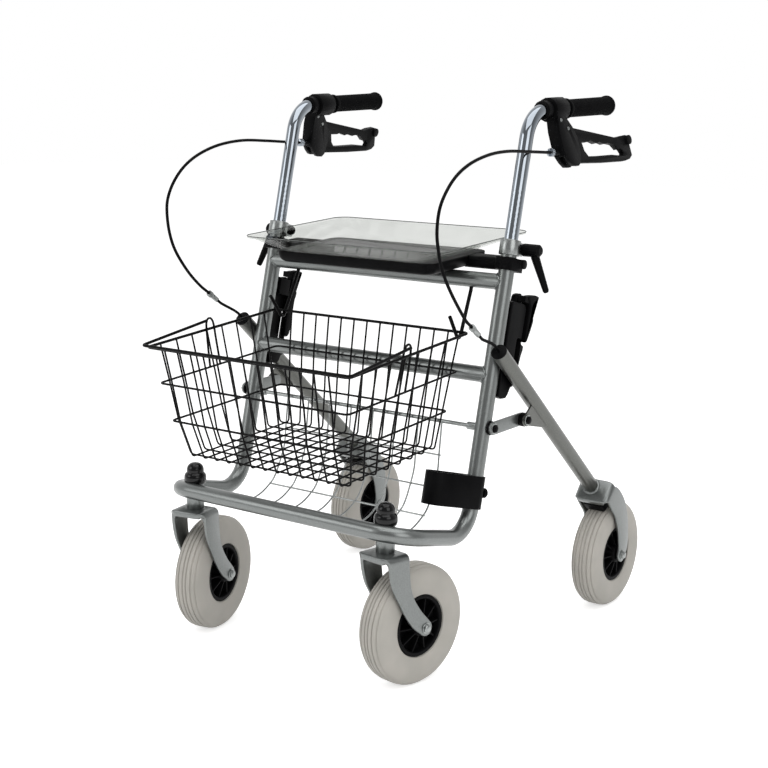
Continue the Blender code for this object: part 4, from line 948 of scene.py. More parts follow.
def wire_basket():
    bm = bmesh.new()
    for level in BASKET_LEVELS[1:3]:
        tube(bm, basket_ring(level[0]), FRAME_WIRE, 10, loop=True)
    tube(bm, basket_ring(1.0), RIM_WIRE, 14, loop=True)
    for k in range(FRONT_WIRES):
        tube(bm, basket_wire(k, FRONT_WIRES, True), WIRE, 10)
    for k in range(SIDE_WIRES):
        tube(bm, basket_wire(k, SIDE_WIRES, False), WIRE, 10)
    for sign in (1, -1):
        tube(bm, smooth([at(sign * x, y, z) for x, y, z in EYE]), EYE_WIRE, 10)
    piece(bm, "basket_of_wires", dipped, "basket", ["wire_basket"])


wire_basket()

# %% [markdown]
# The carrying handle is one thicker rod that swings in the basket's eyes and lies on the front rim. Two
# rods hang from the seat's cross tube, and the basket's rear rim rests in their V-shaped ends.

# %% Carrying handle and hooks
HANDLE_ROD = 0.0024
HOOK_ROD = 0.0030
HOOK_X = HALF_WIDTH - 0.0552


def carrying_handle():
    corners = there_and_back([at(0.2015, 0.0405, 0.5240), at(0.2015, -0.1080, 0.5010)])
    bm = tube(bmesh.new(), filleted(corners, 0.007), HANDLE_ROD, 14)
    piece(bm, "carrying_handle", dipped, "bail", ["basket_handle"])


def basket_hooks():
    x = HOOK_X
    path = [on_upright(SEAT_TUBE_HEIGHT, x=x - 0.004), at(x - 0.003, 0.2430, 0.5890), at(x, 0.2130, 0.5240),
            at(x, 0.2075, 0.5160), at(x, 0.2010, 0.5200), at(x + 0.002, 0.1760, 0.5540)]
    rod = tube(bmesh.new(), filleted(path, 0.004, 5), HOOK_ROD, 14)
    pair(rod, "hook_rod", dipped, "frame", ["basket_hook"])


carrying_handle()
basket_hooks()

# %% [markdown]
# The guard under the basket keeps it from swinging into the casters. Its wires hang from a rod between
# the uprights, curve forward and end on the front crossbar.

# %% Wire guard
GUARD_HALF_WIDTH = 0.1575
GUARD_WIRES = 8
GUARD_WIRE = 0.0014
GUARD_ROD = 0.0033
GUARD_ROD_HEIGHT = 0.1740
GUARD_CURVE = [(0.1915, 0.3270), (0.1885, 0.3000), (0.1790, 0.2760), (0.1650, 0.2500), (0.1500, 0.2360),
               (0.1180, 0.2215), (0.0700, 0.2185), (0.0200, 0.2290)]
GUARD_ROWS = [(0.1915, 0.3270), (0.1790, 0.2760), (0.1500, 0.2360)]


def wire_guard():
    rod = on_upright(GUARD_ROD_HEIGHT, x=0)
    front = CROSSBAR + Vector((0, 0.0118, -0.0094))
    bm = bmesh.new()
    reach = X * (HALF_WIDTH - TUBE_RADIUS + 0.002)
    tube(bm, [rod - reach, rod, rod + reach], GUARD_ROD, 16)
    for sign in (1, -1):
        end = rod + reach * sign
        tube(bm, [end - X * sign * 0.017, end - X * sign * 0.016, end - X * sign * 0.003, end],
             [0.0052, 0.0062, 0.0062, 0.0052], 24)
    for k in range(GUARD_WIRES):
        x = GUARD_HALF_WIDTH * (2 * k / (GUARD_WIRES - 1) - 1)
        points = [Vector((x, rod.y, rod.z))] + [at(x, y, z) for y, z in GUARD_CURVE]
        tube(bm, smooth(points + [Vector((x, front.y, front.z))], 5), GUARD_WIRE, 10)
    half = GUARD_HALF_WIDTH + 0.002
    for y, z in GUARD_ROWS:
        tube(bm, [at(x, y + GUARD_WIRE, z) for x in (-half, 0, half)], GUARD_WIRE, 10)
    piece(bm, "guard_of_wires", zinc, "frame", ["wire_guard"])


wire_guard()

# %% [markdown]
# ## Seat and tray
# The seat is a moulded shell: a thin board, a rim that turns under all round, and ribs below that stiffen
# it. An arm on each side holds its hinge pin. The shell is skinned over rings that go round the rim and back
# inside, which gives it a real wall.

# %% Seat
SEAT_TILT = math.radians(4)
SEAT_ALONG = Vector((0, math.cos(SEAT_TILT), math.sin(SEAT_TILT)))
SEAT_NORMAL = Vector((0, -math.sin(SEAT_TILT), math.cos(SEAT_TILT)))
SEAT_ORIGIN = at(0, 0.155, 0.6345)
SEAT_HALF_WIDTH = HALF_WIDTH - 0.0767
SEAT_DEPTH = 0.1705
SEAT_WALL = 0.0040
SEAT_RIB = 0.004
# how far the rim has turned in at each depth under the top
SEAT_RIM = [(-0.0012, 0.0000), (-0.0070, 0.0004), (-0.0125, 0.0020), (-0.0165, 0.0048), (-0.0190, 0.0085)]


def seat_ring(bm, depth, inward):
    half = SEAT_HALF_WIDTH - inward
    shape = rounded_rectangle(-half, inward, half, SEAT_DEPTH - inward, 0.018 - inward * 0.5, 8)
    return [bm.verts.new(SEAT_ORIGIN + SEAT_NORMAL * depth + X * a + SEAT_ALONG * b) for a, b in shape]


def moulded_seat():
    bm = bmesh.new()
    outside = [seat_ring(bm, 0.0, 0.0040), seat_ring(bm, 0.0, 0.0014), seat_ring(bm, -0.0004, 0.0004)]
    outside += [seat_ring(bm, depth, inward) for depth, inward in SEAT_RIM]
    under = [seat_ring(bm, depth, inward + SEAT_WALL) for depth, inward in reversed(SEAT_RIM[1:])]
    closed_skin(bm, outside + under + [seat_ring(bm, -SEAT_WALL, 0.0060)])
    flat = (X, SEAT_ALONG, SEAT_NORMAL)
    reach = SEAT_HALF_WIDTH - SEAT_WALL
    for share in (-1 / 3, 1 / 3):
        x = SEAT_HALF_WIDTH * share - SEAT_RIB / 2
        rib = rectangle(x, 0.006, x + SEAT_RIB, SEAT_DEPTH - 0.006)
        moulded(bm, rib, flat, -0.0165, -0.003, SEAT_ORIGIN, 0.0006)
    for line in (0.030, 0.098):
        rib = rectangle(-reach, line, reach, line + SEAT_RIB)
        moulded(bm, rib, flat, -0.0160, -0.003, SEAT_ORIGIN, 0.0006)
    for sign in (1, -1):
        ends = sorted((sign * (SEAT_HALF_WIDTH - 0.010), sign * (HALF_WIDTH - TUBE_RADIUS - 0.0050)))
        arm = rounded_rectangle(0.1073, -0.0205, 0.1413, -0.0008, 0.006)
        moulded(bm, arm, (SEAT_ALONG, SEAT_NORMAL, X), *ends, SEAT_ORIGIN, 0.0012)
    piece(bm, "moulded_seat", plastic, "seat", ["seat_board"])


moulded_seat()

# %% [markdown]
# The clear tray lies on the seat. Its sides slope out to a narrow rim. Its section is given as levels from
# the floor up to the rim, and each level is a rectangle with round corners. The same levels, lifted by the
# wall's thickness, are its upper side, so light passes through two surfaces, as it does in real plastic.

# %% Tray
TRAY_WALL = 0.0030


def tray_levels():
    """Height, half width, front, rear and corner radius of the tray's section, from the floor up."""
    floor = [(0.0004, 0.136, 0.000, 0.190, 0.017), (0.0006, 0.139, -0.003, 0.193, 0.0195),
             (0.0018, 0.1418, -0.0052, 0.1955, 0.0205)]
    wall = [(0.0100, 0.1630, -0.0158, 0.2115, 0.0212), (0.0196, 0.1870, -0.0262, 0.2300, 0.0218)]
    rim = [(0.0213, 0.1912, -0.0285, 0.2335, 0.0222), (0.0220, 0.1945, -0.0322, 0.2365, 0.0235),
           (0.0220, 0.1972, -0.0342, 0.2382, 0.0242)]
    return floor + wall + rim


def tray_ring(height, half, front, rear, radius):
    """The points round the tray at one level."""
    base = SEAT_ORIGIN + SEAT_NORMAL * height
    shape = rounded_rectangle(-half, front, half, rear, radius, 12)
    return [base + X * a + SEAT_ALONG * b for a, b in shape]


def clear_tray():
    bm = bmesh.new()
    rings = []
    levels = tray_levels()
    for lift, order in ((0.0, levels), (TRAY_WALL, levels[::-1])):
        for height, *outline in order:
            rings.append([bm.verts.new(point) for point in tray_ring(height + lift, *outline)])
    closed_skin(bm, rings)
    piece(bm, "clear_tray", acrylic, "tray_piece", ["tray"], sharp=50)


def tray_rim_shade_line():
    """A thin dark bead round the rim: painted shade for the line that the wall shows on edge."""
    height, *outline = tray_levels()[-1]
    bm = tube(bmesh.new(), tray_ring(height + TRAY_WALL, *outline), 0.0008, 8, loop=True)
    # a dark bead as painted shade along the rim
    piece(bm, "tray_rim_shade_line", acrylic_rim_shade, "tray_piece")


clear_tray()
tray_rim_shade_line()

# %% [markdown]
# ## Rear legs
# Each rear leg is a straight tube with a plastic cap on top and a cast fork at its foot. Its two ends are
# measured from the slider pin above and from the wheel's axle below.

# %% Leg tubes
LEG_SPREAD = math.radians(62.7)
LEG_DIR = BACK * math.sin(LEG_SPREAD) - UP * math.cos(LEG_SPREAD)
LEG_NORMAL = Vector((0, -LEG_DIR.z, LEG_DIR.y))
LEG_X = pivot("leg_hinge_left").x
REAR_HUB = pivot("rear_spin_left")
# the rear axle seen from the leg's foot, as (square to the leg, up along it)
REAR_AXLE = (-0.0649, -0.1190)
SLIDER_HEIGHT = 0.2537
SLIDER_BEHIND = 0.048
LEG_PAST_SLIDER = 0.0852


def fork_root():
    """The foot of the leg tube, where the rear fork's crown begins."""
    point = REAR_HUB + LEG_DIR * REAR_AXLE[1] - LEG_NORMAL * REAR_AXLE[0]
    return Vector((LEG_X, point.y, point.z))


def leg_top():
    slider = on_upright(SLIDER_HEIGHT, SLIDER_BEHIND, LEG_X)
    return slider - LEG_DIR * LEG_PAST_SLIDER


def leg_tubes():
    bm = tube(bmesh.new(), [leg_top(), fork_root() - LEG_DIR * 0.0003], TUBE_RADIUS, 32)
    pair(bm, "leg_tube", shaded_leg_powder, "leg")


leg_tubes()

# %% [markdown]
# ## Forks
# Each fork is one flat strap, bent over the wheel: up one arm, across the crown and down the other arm.
# A section is drawn square to the strap at each step, so the bends are round and the edges soft. The arms
# sweep back and narrow towards the axle, where they end in a half circle. A bent plate with a bevel would
# be less work, but its soft edges would not stay even where the arm narrows. A fillet fills each inner
# corner under the crown.

# %% Strap forks
FORK_OUTER = 0.0335
FORK_THICKNESS = 0.006
FORK_FOOT = 0.013
FORK_BEND = 0.010
CROWN_CORNER = 0.022
FORK_FILLET = 0.009


def strap_section(bm, front, rear, outward, depth):
    """A rounded rectangle whose outer face runs from the strap's front edge to its rear edge."""
    width = (rear - front).length
    along = (rear - front).normalized()
    middle = (front + rear) / 2 - outward * (depth / 2)
    soft = min(0.0024, width * 0.45)
    ring = []
    for a, b in rounded_rectangle(-width / 2, -depth / 2, width / 2, depth / 2, soft, 3):
        ring.append(bm.verts.new(middle + along * a + outward * b))
    return ring


def fork_foot(axle, front_angle):
    """Edge pairs round the half circle at the arm's foot, from its tip up."""
    pairs = []
    for swing in (80, 65, 48, 30, 12, 0):
        points = []
        for angle in (front_angle + swing, front_angle - 180 - swing):
            points.append(arc(axle, FORK_FOOT, angle, angle, 1)[0])
        pairs.append(tuple(points))
    return pairs


def crown_edge(a, edge, limit):
    """The crown's front or rear edge, drawn in towards the arm round a wide corner."""
    over = max(0.0, a - FORK_OUTER + CROWN_CORNER) / CROWN_CORNER
    return edge + (limit - edge) * (1 - math.sqrt(max(0.0, 1 - over ** 2)))


def crown_fillets(roof):
    """Outlines of (across, height) that round the corners between the crown's underside and the arms."""
    wall = FORK_OUTER - FORK_THICKNESS
    inner, low = wall - FORK_FILLET, roof - FORK_FILLET
    # how far a fillet reaches into the strap
    bite = 0.003
    corner = arc((inner, low), FORK_FILLET, 0, 90, 8)
    corner += [(inner, roof + bite), (wall + bite, roof + bite), (wall + bite, low)]
    return [[(sign * a, height) for a, height in corner] for sign in (1, -1)]


def strap_fork(bm, place, axle, front_angle, arm, crown, crown_top, crown_depth):
    """place(across, ahead, height) gives a point; arm and crown are pairs of front and rear edges."""
    rise = (place(0, 0, 1) - place(0, 0, 0)).normalized()
    across = (place(1, 0, 0) - place(0, 0, 0)).normalized()
    feet = fork_foot(axle, front_angle)
    edges = [smooth([Vector(ends[k]) for ends in feet[-1:] + arm], 3) for k in (0, 1)]
    half = [(FORK_OUTER, Vector(front), Vector(rear), 0.0, FORK_THICKNESS) for front, rear in feet[:-1]]
    half += [(FORK_OUTER, front, rear, 0.0, FORK_THICKNESS) for front, rear in zip(*edges)]
    limits = edges[0][-1].x, edges[1][-1].x
    inner = FORK_OUTER - FORK_BEND
    for k in range(1, 10):
        turn = math.pi / 2 * min(k, 6) / 6
        level = crown_top - FORK_BEND + FORK_BEND * math.sin(turn)
        a = inner + FORK_BEND * math.cos(turn) - 0.0030 * max(k - 6, 0)
        front, rear = (Vector((crown_edge(a, crown[n], limits[n]), level)) for n in (0, 1))
        depth = FORK_THICKNESS + (crown_depth - FORK_THICKNESS) * math.sin(turn)
        half.append((a, front, rear, turn, depth))
    sections = []
    for sign, order in ((1, half), (-1, half[::-1])):
        for a, front, rear, turn, depth in order:
            outward = across * (sign * math.cos(turn)) + rise * math.sin(turn)
            ends = place(sign * a, *front), place(sign * a, *rear)
            sections.append(strap_section(bm, *ends, outward, depth))
    closed_skin(bm, sections)
    ahead = (place(0, 1, 0) - place(0, 0, 0)).normalized()
    front, rear = limits[0] + 0.0010, limits[1] - 0.0010
    for corner in crown_fillets(crown_top - crown_depth):
        moulded(bm, corner, (across, rise, ahead), front, rear, place(0, 0, 0), 0.0015)


# %% [markdown]
# The caster's fork turns round an upright stem in its sleeve. It leans back, because the axle trails behind
# the stem: that is what makes a caster follow.

# %% Caster forks
CASTER_BACK = Z.cross(CASTER_ACROSS).normalized()
CASTER_CROWN_TOP = 0.2194
CASTER_AXLE = (0.058, 0.095)
CASTER_ARM = [
    ((0.0330, 0.0985), (0.0583, 0.1134)), ((0.0168, 0.1182), (0.0480, 0.1243)),
    ((0.0021, 0.1425), (0.0325, 0.1461)), ((-0.0105, 0.1640), (0.0250, 0.1660)),
    ((-0.0172, 0.1830), (0.0222, 0.1840)), ((-0.0202, 0.1990), (0.0207, 0.1990)),
    ((-0.0210, 0.2094), (0.0200, 0.2094)),
]


def caster_place(across, ahead, height):
    return Vector((CASTER.x, CASTER.y, 0)) + CASTER_ACROSS * across + CASTER_BACK * ahead + Z * height


def caster_forks():
    bm = bmesh.new()
    strap_fork(bm, caster_place, CASTER_AXLE, 215, CASTER_ARM, (-0.0310, 0.0205), CASTER_CROWN_TOP, 0.0100)
    boss = [(-0.0010, 0), (-0.0010, 0.0165), (0, 0.0160), (0.0004, 0.0150), (0.0004, 0)]
    turned(bm, boss, caster_place(0, 0, CASTER_CROWN_TOP), Z, 32)
    pair(bm, "caster_strap_fork", cast, "caster", ["caster_fork"])


caster_forks()

# %% [markdown]
# The rear fork has a flat ring at the foot of the leg tube. Its arms bend down from the leg's line to the
# wheel's axle.

# %% Rear forks
REAR_ARM = [
    ((-0.0595, -0.1010), (-0.0450, -0.1290)), ((-0.0530, -0.0930), (-0.0280, -0.1170)),
    ((-0.0410, -0.0775), (-0.0060, -0.0930)), ((-0.0279, -0.0508), (0.0117, -0.0600)),
    ((-0.0252, -0.0300), (0.0164, -0.0300)), ((-0.0230, -0.0120), (0.0150, -0.0120)),
    ((-0.0205, -0.0040), (0.0110, -0.0040)),
]
REAR_CROWN_TOP = 0.0060


def rear_place(across, ahead, height):
    root = Vector((REAR_HUB.x, fork_root().y, fork_root().z))
    return root + X * across + LEG_NORMAL * ahead - LEG_DIR * height


def rear_forks():
    bm = bmesh.new()
    strap_fork(bm, rear_place, REAR_AXLE, 115, REAR_ARM, (-0.0285, 0.0160), REAR_CROWN_TOP, 0.0118)
    ring = [(0.0, 0), (0.0, 0.0160), (-0.0010, 0.0157), (-0.0024, 0.0144), (-0.0028, 0.0128), (-0.0028, 0)]
    turned(bm, ring, fork_root() - LEG_DIR * (REAR_CROWN_TOP - 0.0004), LEG_DIR, 32)
    pair(bm, "rear_strap_fork", cast, "leg", ["rear_fork"])


rear_forks()

# %% [markdown]
# ## Caps over the casters
# A soft moulded cap closes each caster's sleeve against dirt: a rounded skirt, a groove and a dome. All
# three are one turned outline.

# %% Caster caps
CAP_OUTLINE = [
    (0.0000, 0.0152), (0.0000, 0.0166), (0.0018, 0.0175), (0.0050, 0.0180), (0.0095, 0.0180),
    (0.0130, 0.0175), (0.0152, 0.0165), (0.0166, 0.0150), (0.0174, 0.0141), (0.0186, 0.0138),
    (0.0200, 0.0140), (0.0235, 0.0138), (0.0270, 0.0128), (0.0300, 0.0108), (0.0322, 0.0080),
    (0.0334, 0.0045), (0.0338, 0), (0.0060, 0), (0.0060, 0.0152),
]


def caster_caps():
    base = Vector((CASTER.x, CASTER.y, SLEEVE[1] + 0.0003))
    pair(turned(bmesh.new(), CAP_OUTLINE, base, Z, 40), "domed_cap", polished, "frame", ["caster_cap"])


caster_caps()

# %% [markdown]
# ## Brake cables
# Each cable leaves its brake forwards, droops in one wide loop beside the frame and comes back to the leg.
# Its route is the CAD model's, drawn finer. It ends in bright plated screws: a knurled nut at the brake, and
# a knurled nut with a plain barrel at the leg. A knurl is a fluted outline drawn out along the cable.

# %% Cable routes
CABLE_RADIUS = 0.0025
CABLE_ROUTES = {
    "left": [
        (0.2540, 0.3395, 0.8060), (0.2542, 0.3150, 0.8068), (0.2546, 0.2700, 0.8082),
        (0.2550, 0.2085, 0.8096), (0.2560, 0.1512, 0.8050), (0.2555, 0.0978, 0.7917),
        (0.2555, 0.0568, 0.7702), (0.2555, 0.0275, 0.7378), (0.2555, 0.0191, 0.7047),
        (0.2555, 0.0228, 0.6764), (0.2555, 0.0348, 0.6444), (0.2560, 0.0601, 0.6079),
        (0.2565, 0.0982, 0.5665), (0.2570, 0.1162, 0.5532),
    ],
    "right": [
        (0.2540, 0.3395, 0.8060), (0.2542, 0.3150, 0.8068), (0.2546, 0.2509, 0.8096),
        (0.2555, 0.1905, 0.8107), (0.2550, 0.1323, 0.8042), (0.2550, 0.0839, 0.7904),
        (0.2550, 0.0476, 0.7714), (0.2550, 0.0222, 0.7473), (0.2550, 0.0076, 0.7210),
        (0.2550, 0.0051, 0.6968), (0.2550, 0.0108, 0.6644), (0.2550, 0.0247, 0.6339),
        (0.2555, 0.0535, 0.5992), (0.2565, 0.0829, 0.5738), (0.2570, 0.1056, 0.5588),
    ],
}


def cable_points(side):
    """The points that one cable goes through, from its brake to its leg."""
    sign = 1 if side == "left" else -1
    return [at(sign * x, y, z) for x, y, z in CABLE_ROUTES[side]]


# %% Knurled screws
FLUTES = 14
FLUTE_DEPTH = 0.0004


def knurled(bm, start, along, length, radius):
    first, second = square_to(along)
    outline = []
    for k in range(FLUTES * 4):
        swell = radius + FLUTE_DEPTH * (1 if k % 4 < 2 else -1)
        outline.append(arc((0, 0), swell, 360 * k / (FLUTES * 4), 0, 1)[0])
    moulded(bm, outline, (first, second, along), 0, length, start, 0.0006, 2)


def cable_screws():
    for side in CABLE_ROUTES:
        before, foot = cable_points(side)[-2:]
        along = (foot - before).normalized()
        bm = bmesh.new()
        knurled(bm, foot + along * 0.0010, along, 0.0085, 0.0048)
        barrel = [(0.0090, 0), (0.0090, 0.0036), (0.0100, 0.0042), (0.0240, 0.0042), (0.0258, 0.0034),
                  (0.0258, 0)]
        turned(bm, barrel, foot, along, 24)
        piece(bm, "cable_screw_" + side, zinc, "leg_" + side)
    bm = bmesh.new()
    knurled(bm, cable_points("left")[0], Y, 0.0110, 0.0064)
    pair(bm, "brake_screw", chrome, "handle")


cable_screws()

# %% [markdown]
# The cable is a steel inner in a 5 mm black housing, so it holds its loop, and its length is what the
# photograph shows from end to end. It is made where it lies and rides on no body.

# %% Cable loops
def brake_cable(side):
    route = smooth(cable_points(side), 6)
    made = piece(tube(bmesh.new(), route, CABLE_RADIUS, 14), "brake_cable_loop_" + side, plastic, None,
                 ["brake_cable_" + side])
    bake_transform(made)


brake_cable("left")
brake_cable("right")

# %% [markdown]
# ## Folding struts
# A flat cast bar joins each upright to its leg. Black bushes keep it off the tubes, and each end has a
# bright washer and a black lock nut.

# %% Folding struts
STRUT_START = pivot("fold_left")
STRUT_END = Vector((STRUT_START.x, pivot("leg_hinge_left").y, pivot("leg_hinge_left").z))
STRUT_THICKNESS = 0.004
STRUT_HALF_WIDTH = 0.0105


def washer_and_nut(bright, black, start):
    washer = [(0, 0.0040), (0, 0.0086), (0.0008, 0.0088), (0.0014, 0.0084), (0.0014, 0.0040)]
    turned(bright, washer, start, X, 32)
    hexagon = arc((0, 0), 0.0068, 0, 300, 5)
    moulded(black, hexagon, (Y, Z, X), 0.0013, 0.0042, start, 0.0007)
    crown = [(0.0040, 0), (0.0040, 0.0046), (0.0052, 0.0042), (0.0056, 0.0034), (0.0056, 0)]
    turned(black, crown, start, X, 24)


def folding_struts():
    along = (STRUT_END - STRUT_START).normalized()
    length = (STRUT_END - STRUT_START).length
    ends = arc((0, 0), STRUT_HALF_WIDTH, 90, 270, 10) + arc((length, 0), STRUT_HALF_WIDTH, -90, 90, 10)
    bar = moulded(bmesh.new(), ends, (along, X.cross(along), X), 0, STRUT_THICKNESS, STRUT_START, 0.0009)
    pair(bar, "cast_strut", cast, "strut", ["fold_strut"])
    bush = bmesh.new()
    turned(bush, [(-0.0035, 0), (-0.0035, 0.0102), (-0.0028, 0.0112), (-0.0006, 0.0112), (0.0002, 0.0104),
                  (0.0002, 0)], STRUT_START, X, 32)
    turned(bush, [(0.0038, 0), (0.0038, 0.0104), (0.0046, 0.0112), (0.0112, 0.0112), (0.0120, 0.0104),
                  (0.0120, 0)], STRUT_END, X, 32)
    bright = bmesh.new()
    washer_and_nut(bright, bush, STRUT_START + X * STRUT_THICKNESS)
    washer_and_nut(bright, bush, STRUT_END + X * 0.0156)
    turned(bush, [(0.0115, 0), (0.0115, 0.0038), (0.0160, 0.0038), (0.0160, 0)], STRUT_END, X, 24)
    pair(bush, "strut_bushes", plastic, "strut")
    pair(bright, "strut_washers", zinc, "strut")


folding_struts()

# %% [markdown]
# ## Rails and latches
# A slotted rail behind each upright guides the leg's slider pin, and a sprung latch holds it down. Both are
# thick black mouldings with generous corners. The slot is cut out of the rail with a Boolean, which leaves
# the rest of its outline as it is.

# %% A form cut out of another


def cut_out(bm, cutter):
    """What is left of a closed form when another is taken away."""
    forms = []
    for mesh in (bm, cutter):
        bmesh.ops.recalc_face_normals(mesh, faces=mesh.faces)
        data = bpy.data.meshes.new("form")
        mesh.to_mesh(data)
        mesh.free()
        forms.append(placed("form", data))
    knife = forms[0].modifiers.new("Knife", "BOOLEAN")
    knife.operation = "DIFFERENCE"
    knife.solver = "EXACT"
    knife.object = forms[1]
    bpy.context.view_layer.update()
    left = bmesh.new()
    left.from_mesh(forms[0].evaluated_get(bpy.context.evaluated_depsgraph_get()).to_mesh())
    for form in forms:
        bpy.data.objects.remove(form, do_unlink=True)
    return left


# %% Slotted rails
RAIL_PLATE = (0.2340, 0.2455)
RAIL_INNER = 0.2215
RAIL_FRONT = 0.0133
# how far up and back the slot goes, and its room round the pin's axis
SLOT_TOP = 0.3177
SLOT_REAR = 0.0546
SLOT_ROOM = 0.0044


def slotted_rails():
    """Outlines are (height along the upright, distance behind its axis)."""
    flat = (UP, BACK, X)
    shape = [
        (0.2250, RAIL_FRONT), (0.3750, RAIL_FRONT), (0.3775, 0.0180), (0.3765, 0.0300), (0.3785, 0.0420),
        (0.3760, 0.0560), (0.3700, 0.0608), (0.3400, 0.0602), (0.3180, 0.0600), (0.3140, 0.0612),
        (0.3125, 0.0640), (0.3112, 0.0692), (0.3040, 0.0690), (0.2960, 0.0660), (0.2800, 0.0630),
        (0.2560, 0.0622), (0.2470, 0.0600), (0.2420, 0.0470), (0.2310, 0.0425), (0.2245, 0.0370),
        (0.2225, 0.0250),
    ]
    plate = moulded(bmesh.new(), shape, flat, *RAIL_PLATE, HEEL, 0.0022)
    slot = rounded_rectangle(SLIDER_HEIGHT - SLOT_ROOM, SLIDER_BEHIND - SLOT_ROOM, SLOT_TOP + SLOT_ROOM,
                             SLOT_REAR + SLOT_ROOM, SLOT_ROOM, 5)
    rail = cut_out(plate, moulded(bmesh.new(), slot, flat, 0.22, 0.26, HEEL, 0.0001))
    foot = [(0.2255, RAIL_FRONT), (0.2480, RAIL_FRONT), (0.2480, 0.0560), (0.2400, 0.0440),
            (0.2300, 0.0400), (0.2255, 0.0350)]
    for part in (foot, rectangle(0.3460, RAIL_FRONT, 0.3740, 0.0405)):
        moulded(rail, part, flat, RAIL_INNER, RAIL_PLATE[0] + 0.003, HEEL, 0.0015)
    pair(rail, "slotted_rail", plastic, "frame", ["fold_rail"])


slotted_rails()

# %% [markdown]
# The latch is one moulding in three parts: an inner bar, a curved blade behind the rail that a finger
# pulls, and a bridge that joins them over the rail's top. The curved outlines go smoothly through a few
# points, and the bridge keeps its corners.

# %% Sprung latches
def sprung_latches():
    flat = (UP, BACK, X)
    bar = smooth_outline([
        (0.2790, 0.0460), (0.3200, 0.0450), (0.3600, 0.0440), (0.3860, 0.0455), (0.3925, 0.0530),
        (0.3900, 0.0615), (0.3600, 0.0615), (0.3200, 0.0605), (0.2800, 0.0590)])
    bm = moulded(bmesh.new(), bar, flat, HALF_WIDTH - 0.0115, HALF_WIDTH - 0.0003, HEEL, 0.0018)
    bridge = [(0.3800, 0.0480), (0.3895, 0.0475), (0.3925, 0.0740), (0.3860, 0.0750), (0.3680, 0.0700),
              (0.3680, 0.0645), (0.3790, 0.0635)]
    moulded(bm, bridge, flat, HALF_WIDTH - 0.0023, HALF_WIDTH + 0.0141, HEEL, 0.0015)
    blade = smooth_outline([
        (0.3890, 0.0560), (0.3935, 0.0700), (0.3945, 0.0810), (0.3925, 0.0889), (0.3860, 0.0820),
        (0.3790, 0.0742), (0.3700, 0.0725), (0.3630, 0.0762), (0.3550, 0.0812), (0.3420, 0.0786),
        (0.3270, 0.0733), (0.3195, 0.0702), (0.3190, 0.0655), (0.3450, 0.0650), (0.3750, 0.0640)])
    moulded(bm, blade, flat, HALF_WIDTH + 0.0020, HALF_WIDTH + 0.0163, HEEL, 0.0026)
    pair(bm, "sprung_latch", plastic, "latch", ["latch_lever"])


sprung_latches()

# %% [markdown]
# ## Rivets of the brakes
# Two bright rivets go through each brake body, one over the post and one where the lever turns. A rivet has
# a flat dome at both ends, so one end is drawn and mirrored.

# %% Brake rivets
def brake_rivets():
    lever = pivot("brake_squeeze_left")
    across = Vector(JOINTS["brake_squeeze_left"]["axis"]).normalized()
    bm = bmesh.new()
    for behind, above in ((-0.0180, 0.0140), (0.0, 0.0)):
        middle = lever + Y * behind + Z * above
        middle -= across * (middle - lever).dot(across)
        head = [(0.0105, 0.0024), (0.0112, 0.0030), (0.0117, 0.0026), (0.0120, 0.0014), (0.0121, 0)]
        turned(bm, both_ends(head), middle, across, 20)
    pair(bm, "brake_rivets", cast, "handle")


brake_rivets()

# %% [markdown]
# ## CAD solids that keep their shape
# The smaller mouldings and castings already have their real shape. They get their finish, and the sharp
# edges of a CAD solid are broken, as every moulded or cast edge is.

# %% Kept solids
for side in ("left", "right"):
    kept("rear_leg_" + side, shaded_leg_powder)
    kept("leg_cap_" + side, plastic, 0.0006)
    kept("seat_bracket_" + side, plastic, 0.0010)
    kept("clamp_collar_" + side, zinc, 0.0005)
    kept("clamp_lever_" + side, plastic)
    kept("brake_housing_" + side, plastic, 0.0012)
    kept("brake_lever_" + side, plastic, 0.0012)
    kept("brake_shoe_" + side, plastic, 0.0006)
    kept("cable_adjuster_" + side, plastic)
kept("cane_holder", plastic, 0.0005)
kept("cane_holder_screw", plastic, 0.0005)

# %% [markdown]
# ## Studio
# The photograph shows the rollator on white. The camera stands where it stood there: about 2.4 m away,
# some 35 degrees round from the front towards the rollator's left side, and as high as its grips.

# %% Camera
CAMERA_PLACE = at(1.4004, -1.7232, 0.8739)
CAMERA_RIGHT = Vector((0.81423, 0.58018, 0.02032)).normalized()
CAMERA_FORWARD = Vector((-0.56703, 0.8023, -0.18653)).normalized()
# in millimetres, for film 36 mm wide
CAMERA_LENS = 68.79


def camera_like_photo():
    data = bpy.data.cameras.new("camera")
    data.lens = CAMERA_LENS
    data.sensor_width = 36
    made = placed("camera", data)
    upward = CAMERA_RIGHT.cross(CAMERA_FORWARD)
    turn = Matrix((CAMERA_RIGHT, upward, -CAMERA_FORWARD)).transposed()
    made.matrix_world = Matrix.Translation(CAMERA_PLACE) @ turn.to_4x4()
    bpy.context.scene.camera = made
    print("The camera stands", round(CAMERA_PLACE.z, 2), "m above the floor")


camera_like_photo()

# %% [markdown]
# The floor is white paper that keeps a soft shadow: a good half of what the camera sees of it is its own
# light, and the rest is lit. A floor that is only lit would come out grey.

# %% White floor
FLOOR_GLOW = 0.58


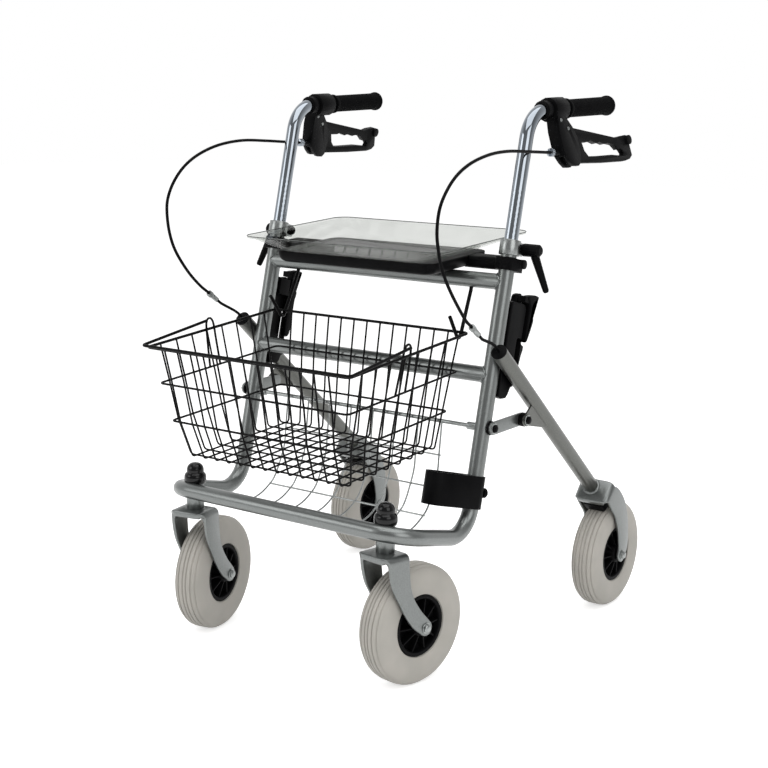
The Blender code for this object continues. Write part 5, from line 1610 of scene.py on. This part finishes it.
def white_floor():
    bm = bmesh.new()
    bmesh.ops.create_grid(bm, x_segments=1, y_segments=1, size=14)
    mesh = bpy.data.meshes.new("floor")
    bm.to_mesh(mesh)
    bm.free()
    floor = placed("floor", mesh)
    paper = bpy.data.materials.new("white_paper")
    paper.use_nodes = True
    shader = paper.node_tree.nodes["Principled BSDF"]
    shader.inputs["Base Color"].default_value = linear("E8E8E8")
    shader.inputs["Roughness"].default_value = 0.9
    seen = add_node(paper, "LightPath")
    glow = add_node(paper, "Emission", color=(1, 1, 1, 1), strength=FLOOR_GLOW)
    black = add_node(paper, "Emission", color=(0, 0, 0, 1), strength=0.0)
    mirrored_too = add_node(paper, "Math", {0: seen.outputs["Is Camera Ray"],
                                            1: seen.outputs["Is Glossy Ray"]}, operation="ADD")
    shown = add_node(paper, "Math", {0: mirrored_too.outputs[0], 1: seen.outputs["Is Transmission Ray"]},
                     operation="ADD", use_clamp=True)
    pick = add_node(paper, "MixShader", {0: shown.outputs[0], 1: black.outputs[0], 2: glow.outputs[0]})
    both = add_node(paper, "AddShader", {0: shader.outputs[0], 1: pick.outputs[0]})
    paper.node_tree.links.new(both.outputs[0], paper.node_tree.nodes["Material Output"].inputs["Surface"])
    mesh.materials.append(paper)


white_floor()

# %% [markdown]
# The room round the object is white where the camera sees it. It gives a softer fill light, and shiny tubes
# mirror a darker room behind the camera, which draws their round edges.

# %% World
FILL_LIGHT = 0.62
DARK_ROOM = 0.34


def studio_world():
    """White behind the object, and for reflections a darker room behind the camera."""
    world = bpy.data.worlds.new("studio")
    bpy.context.scene.world = world
    world.use_nodes = True
    back = world.node_tree.nodes["Background"]
    seen = add_node(world, "LightPath")
    clear = add_node(world, "Math", {0: seen.outputs["Is Camera Ray"],
                                     1: seen.outputs["Is Transmission Ray"]},
                     operation="ADD", use_clamp=True)
    strength = add_node(world, "MapRange", {"Value": clear.outputs[0]}, to_min=FILL_LIGHT, to_max=1.0)
    way = add_node(world, "TexCoord").outputs["Generated"]
    towards = add_node(world, "VectorMath", {0: way}, operation="DOT_PRODUCT")
    towards.inputs[1].default_value = (CAMERA_FORWARD.x, CAMERA_FORWARD.y, -0.35)
    room = add_node(world, "MapRange", {"Value": towards.outputs["Value"]}, from_min=-0.55, from_max=0.45,
                    to_min=DARK_ROOM, to_max=1.0)
    mirrored_room = add_node(world, "Mix", {0: seen.outputs["Is Glossy Ray"], 2: strength.outputs["Result"],
                                            3: room.outputs["Result"]})
    back.inputs["Color"].default_value = (1, 1, 1, 1)
    world.node_tree.links.new(mirrored_room.outputs[0], back.inputs["Strength"])


studio_world()

# %% [markdown]
# Three soft area lamps stand above and to both sides of the front, as large white boxes do in a studio. The
# larger a lamp, the softer the shadow's edge.

# %% Lamps
def soft_lamp(name, place, target, size, power):
    data = bpy.data.lights.new(name, "AREA")
    data.energy = power
    data.size = size
    lamp = placed(name, data)
    lamp.location = place
    lamp.rotation_euler = (Vector(target) - Vector(place)).to_track_quat("-Z", "Y").to_euler()


soft_lamp("overhead", (0.3, -0.4, 2.8), (0, 0, 0.4), 2.6, 46)
soft_lamp("front_left", (2.4, -1.2, 1.6), (0, 0, 0.5), 1.8, 22)
soft_lamp("front_right", (-1.6, -2.4, 1.5), (0, 0, 0.5), 1.5, 18)
bpy.context.scene.view_settings.view_transform = "Standard"
print("Floor, world and three lamps are in place")
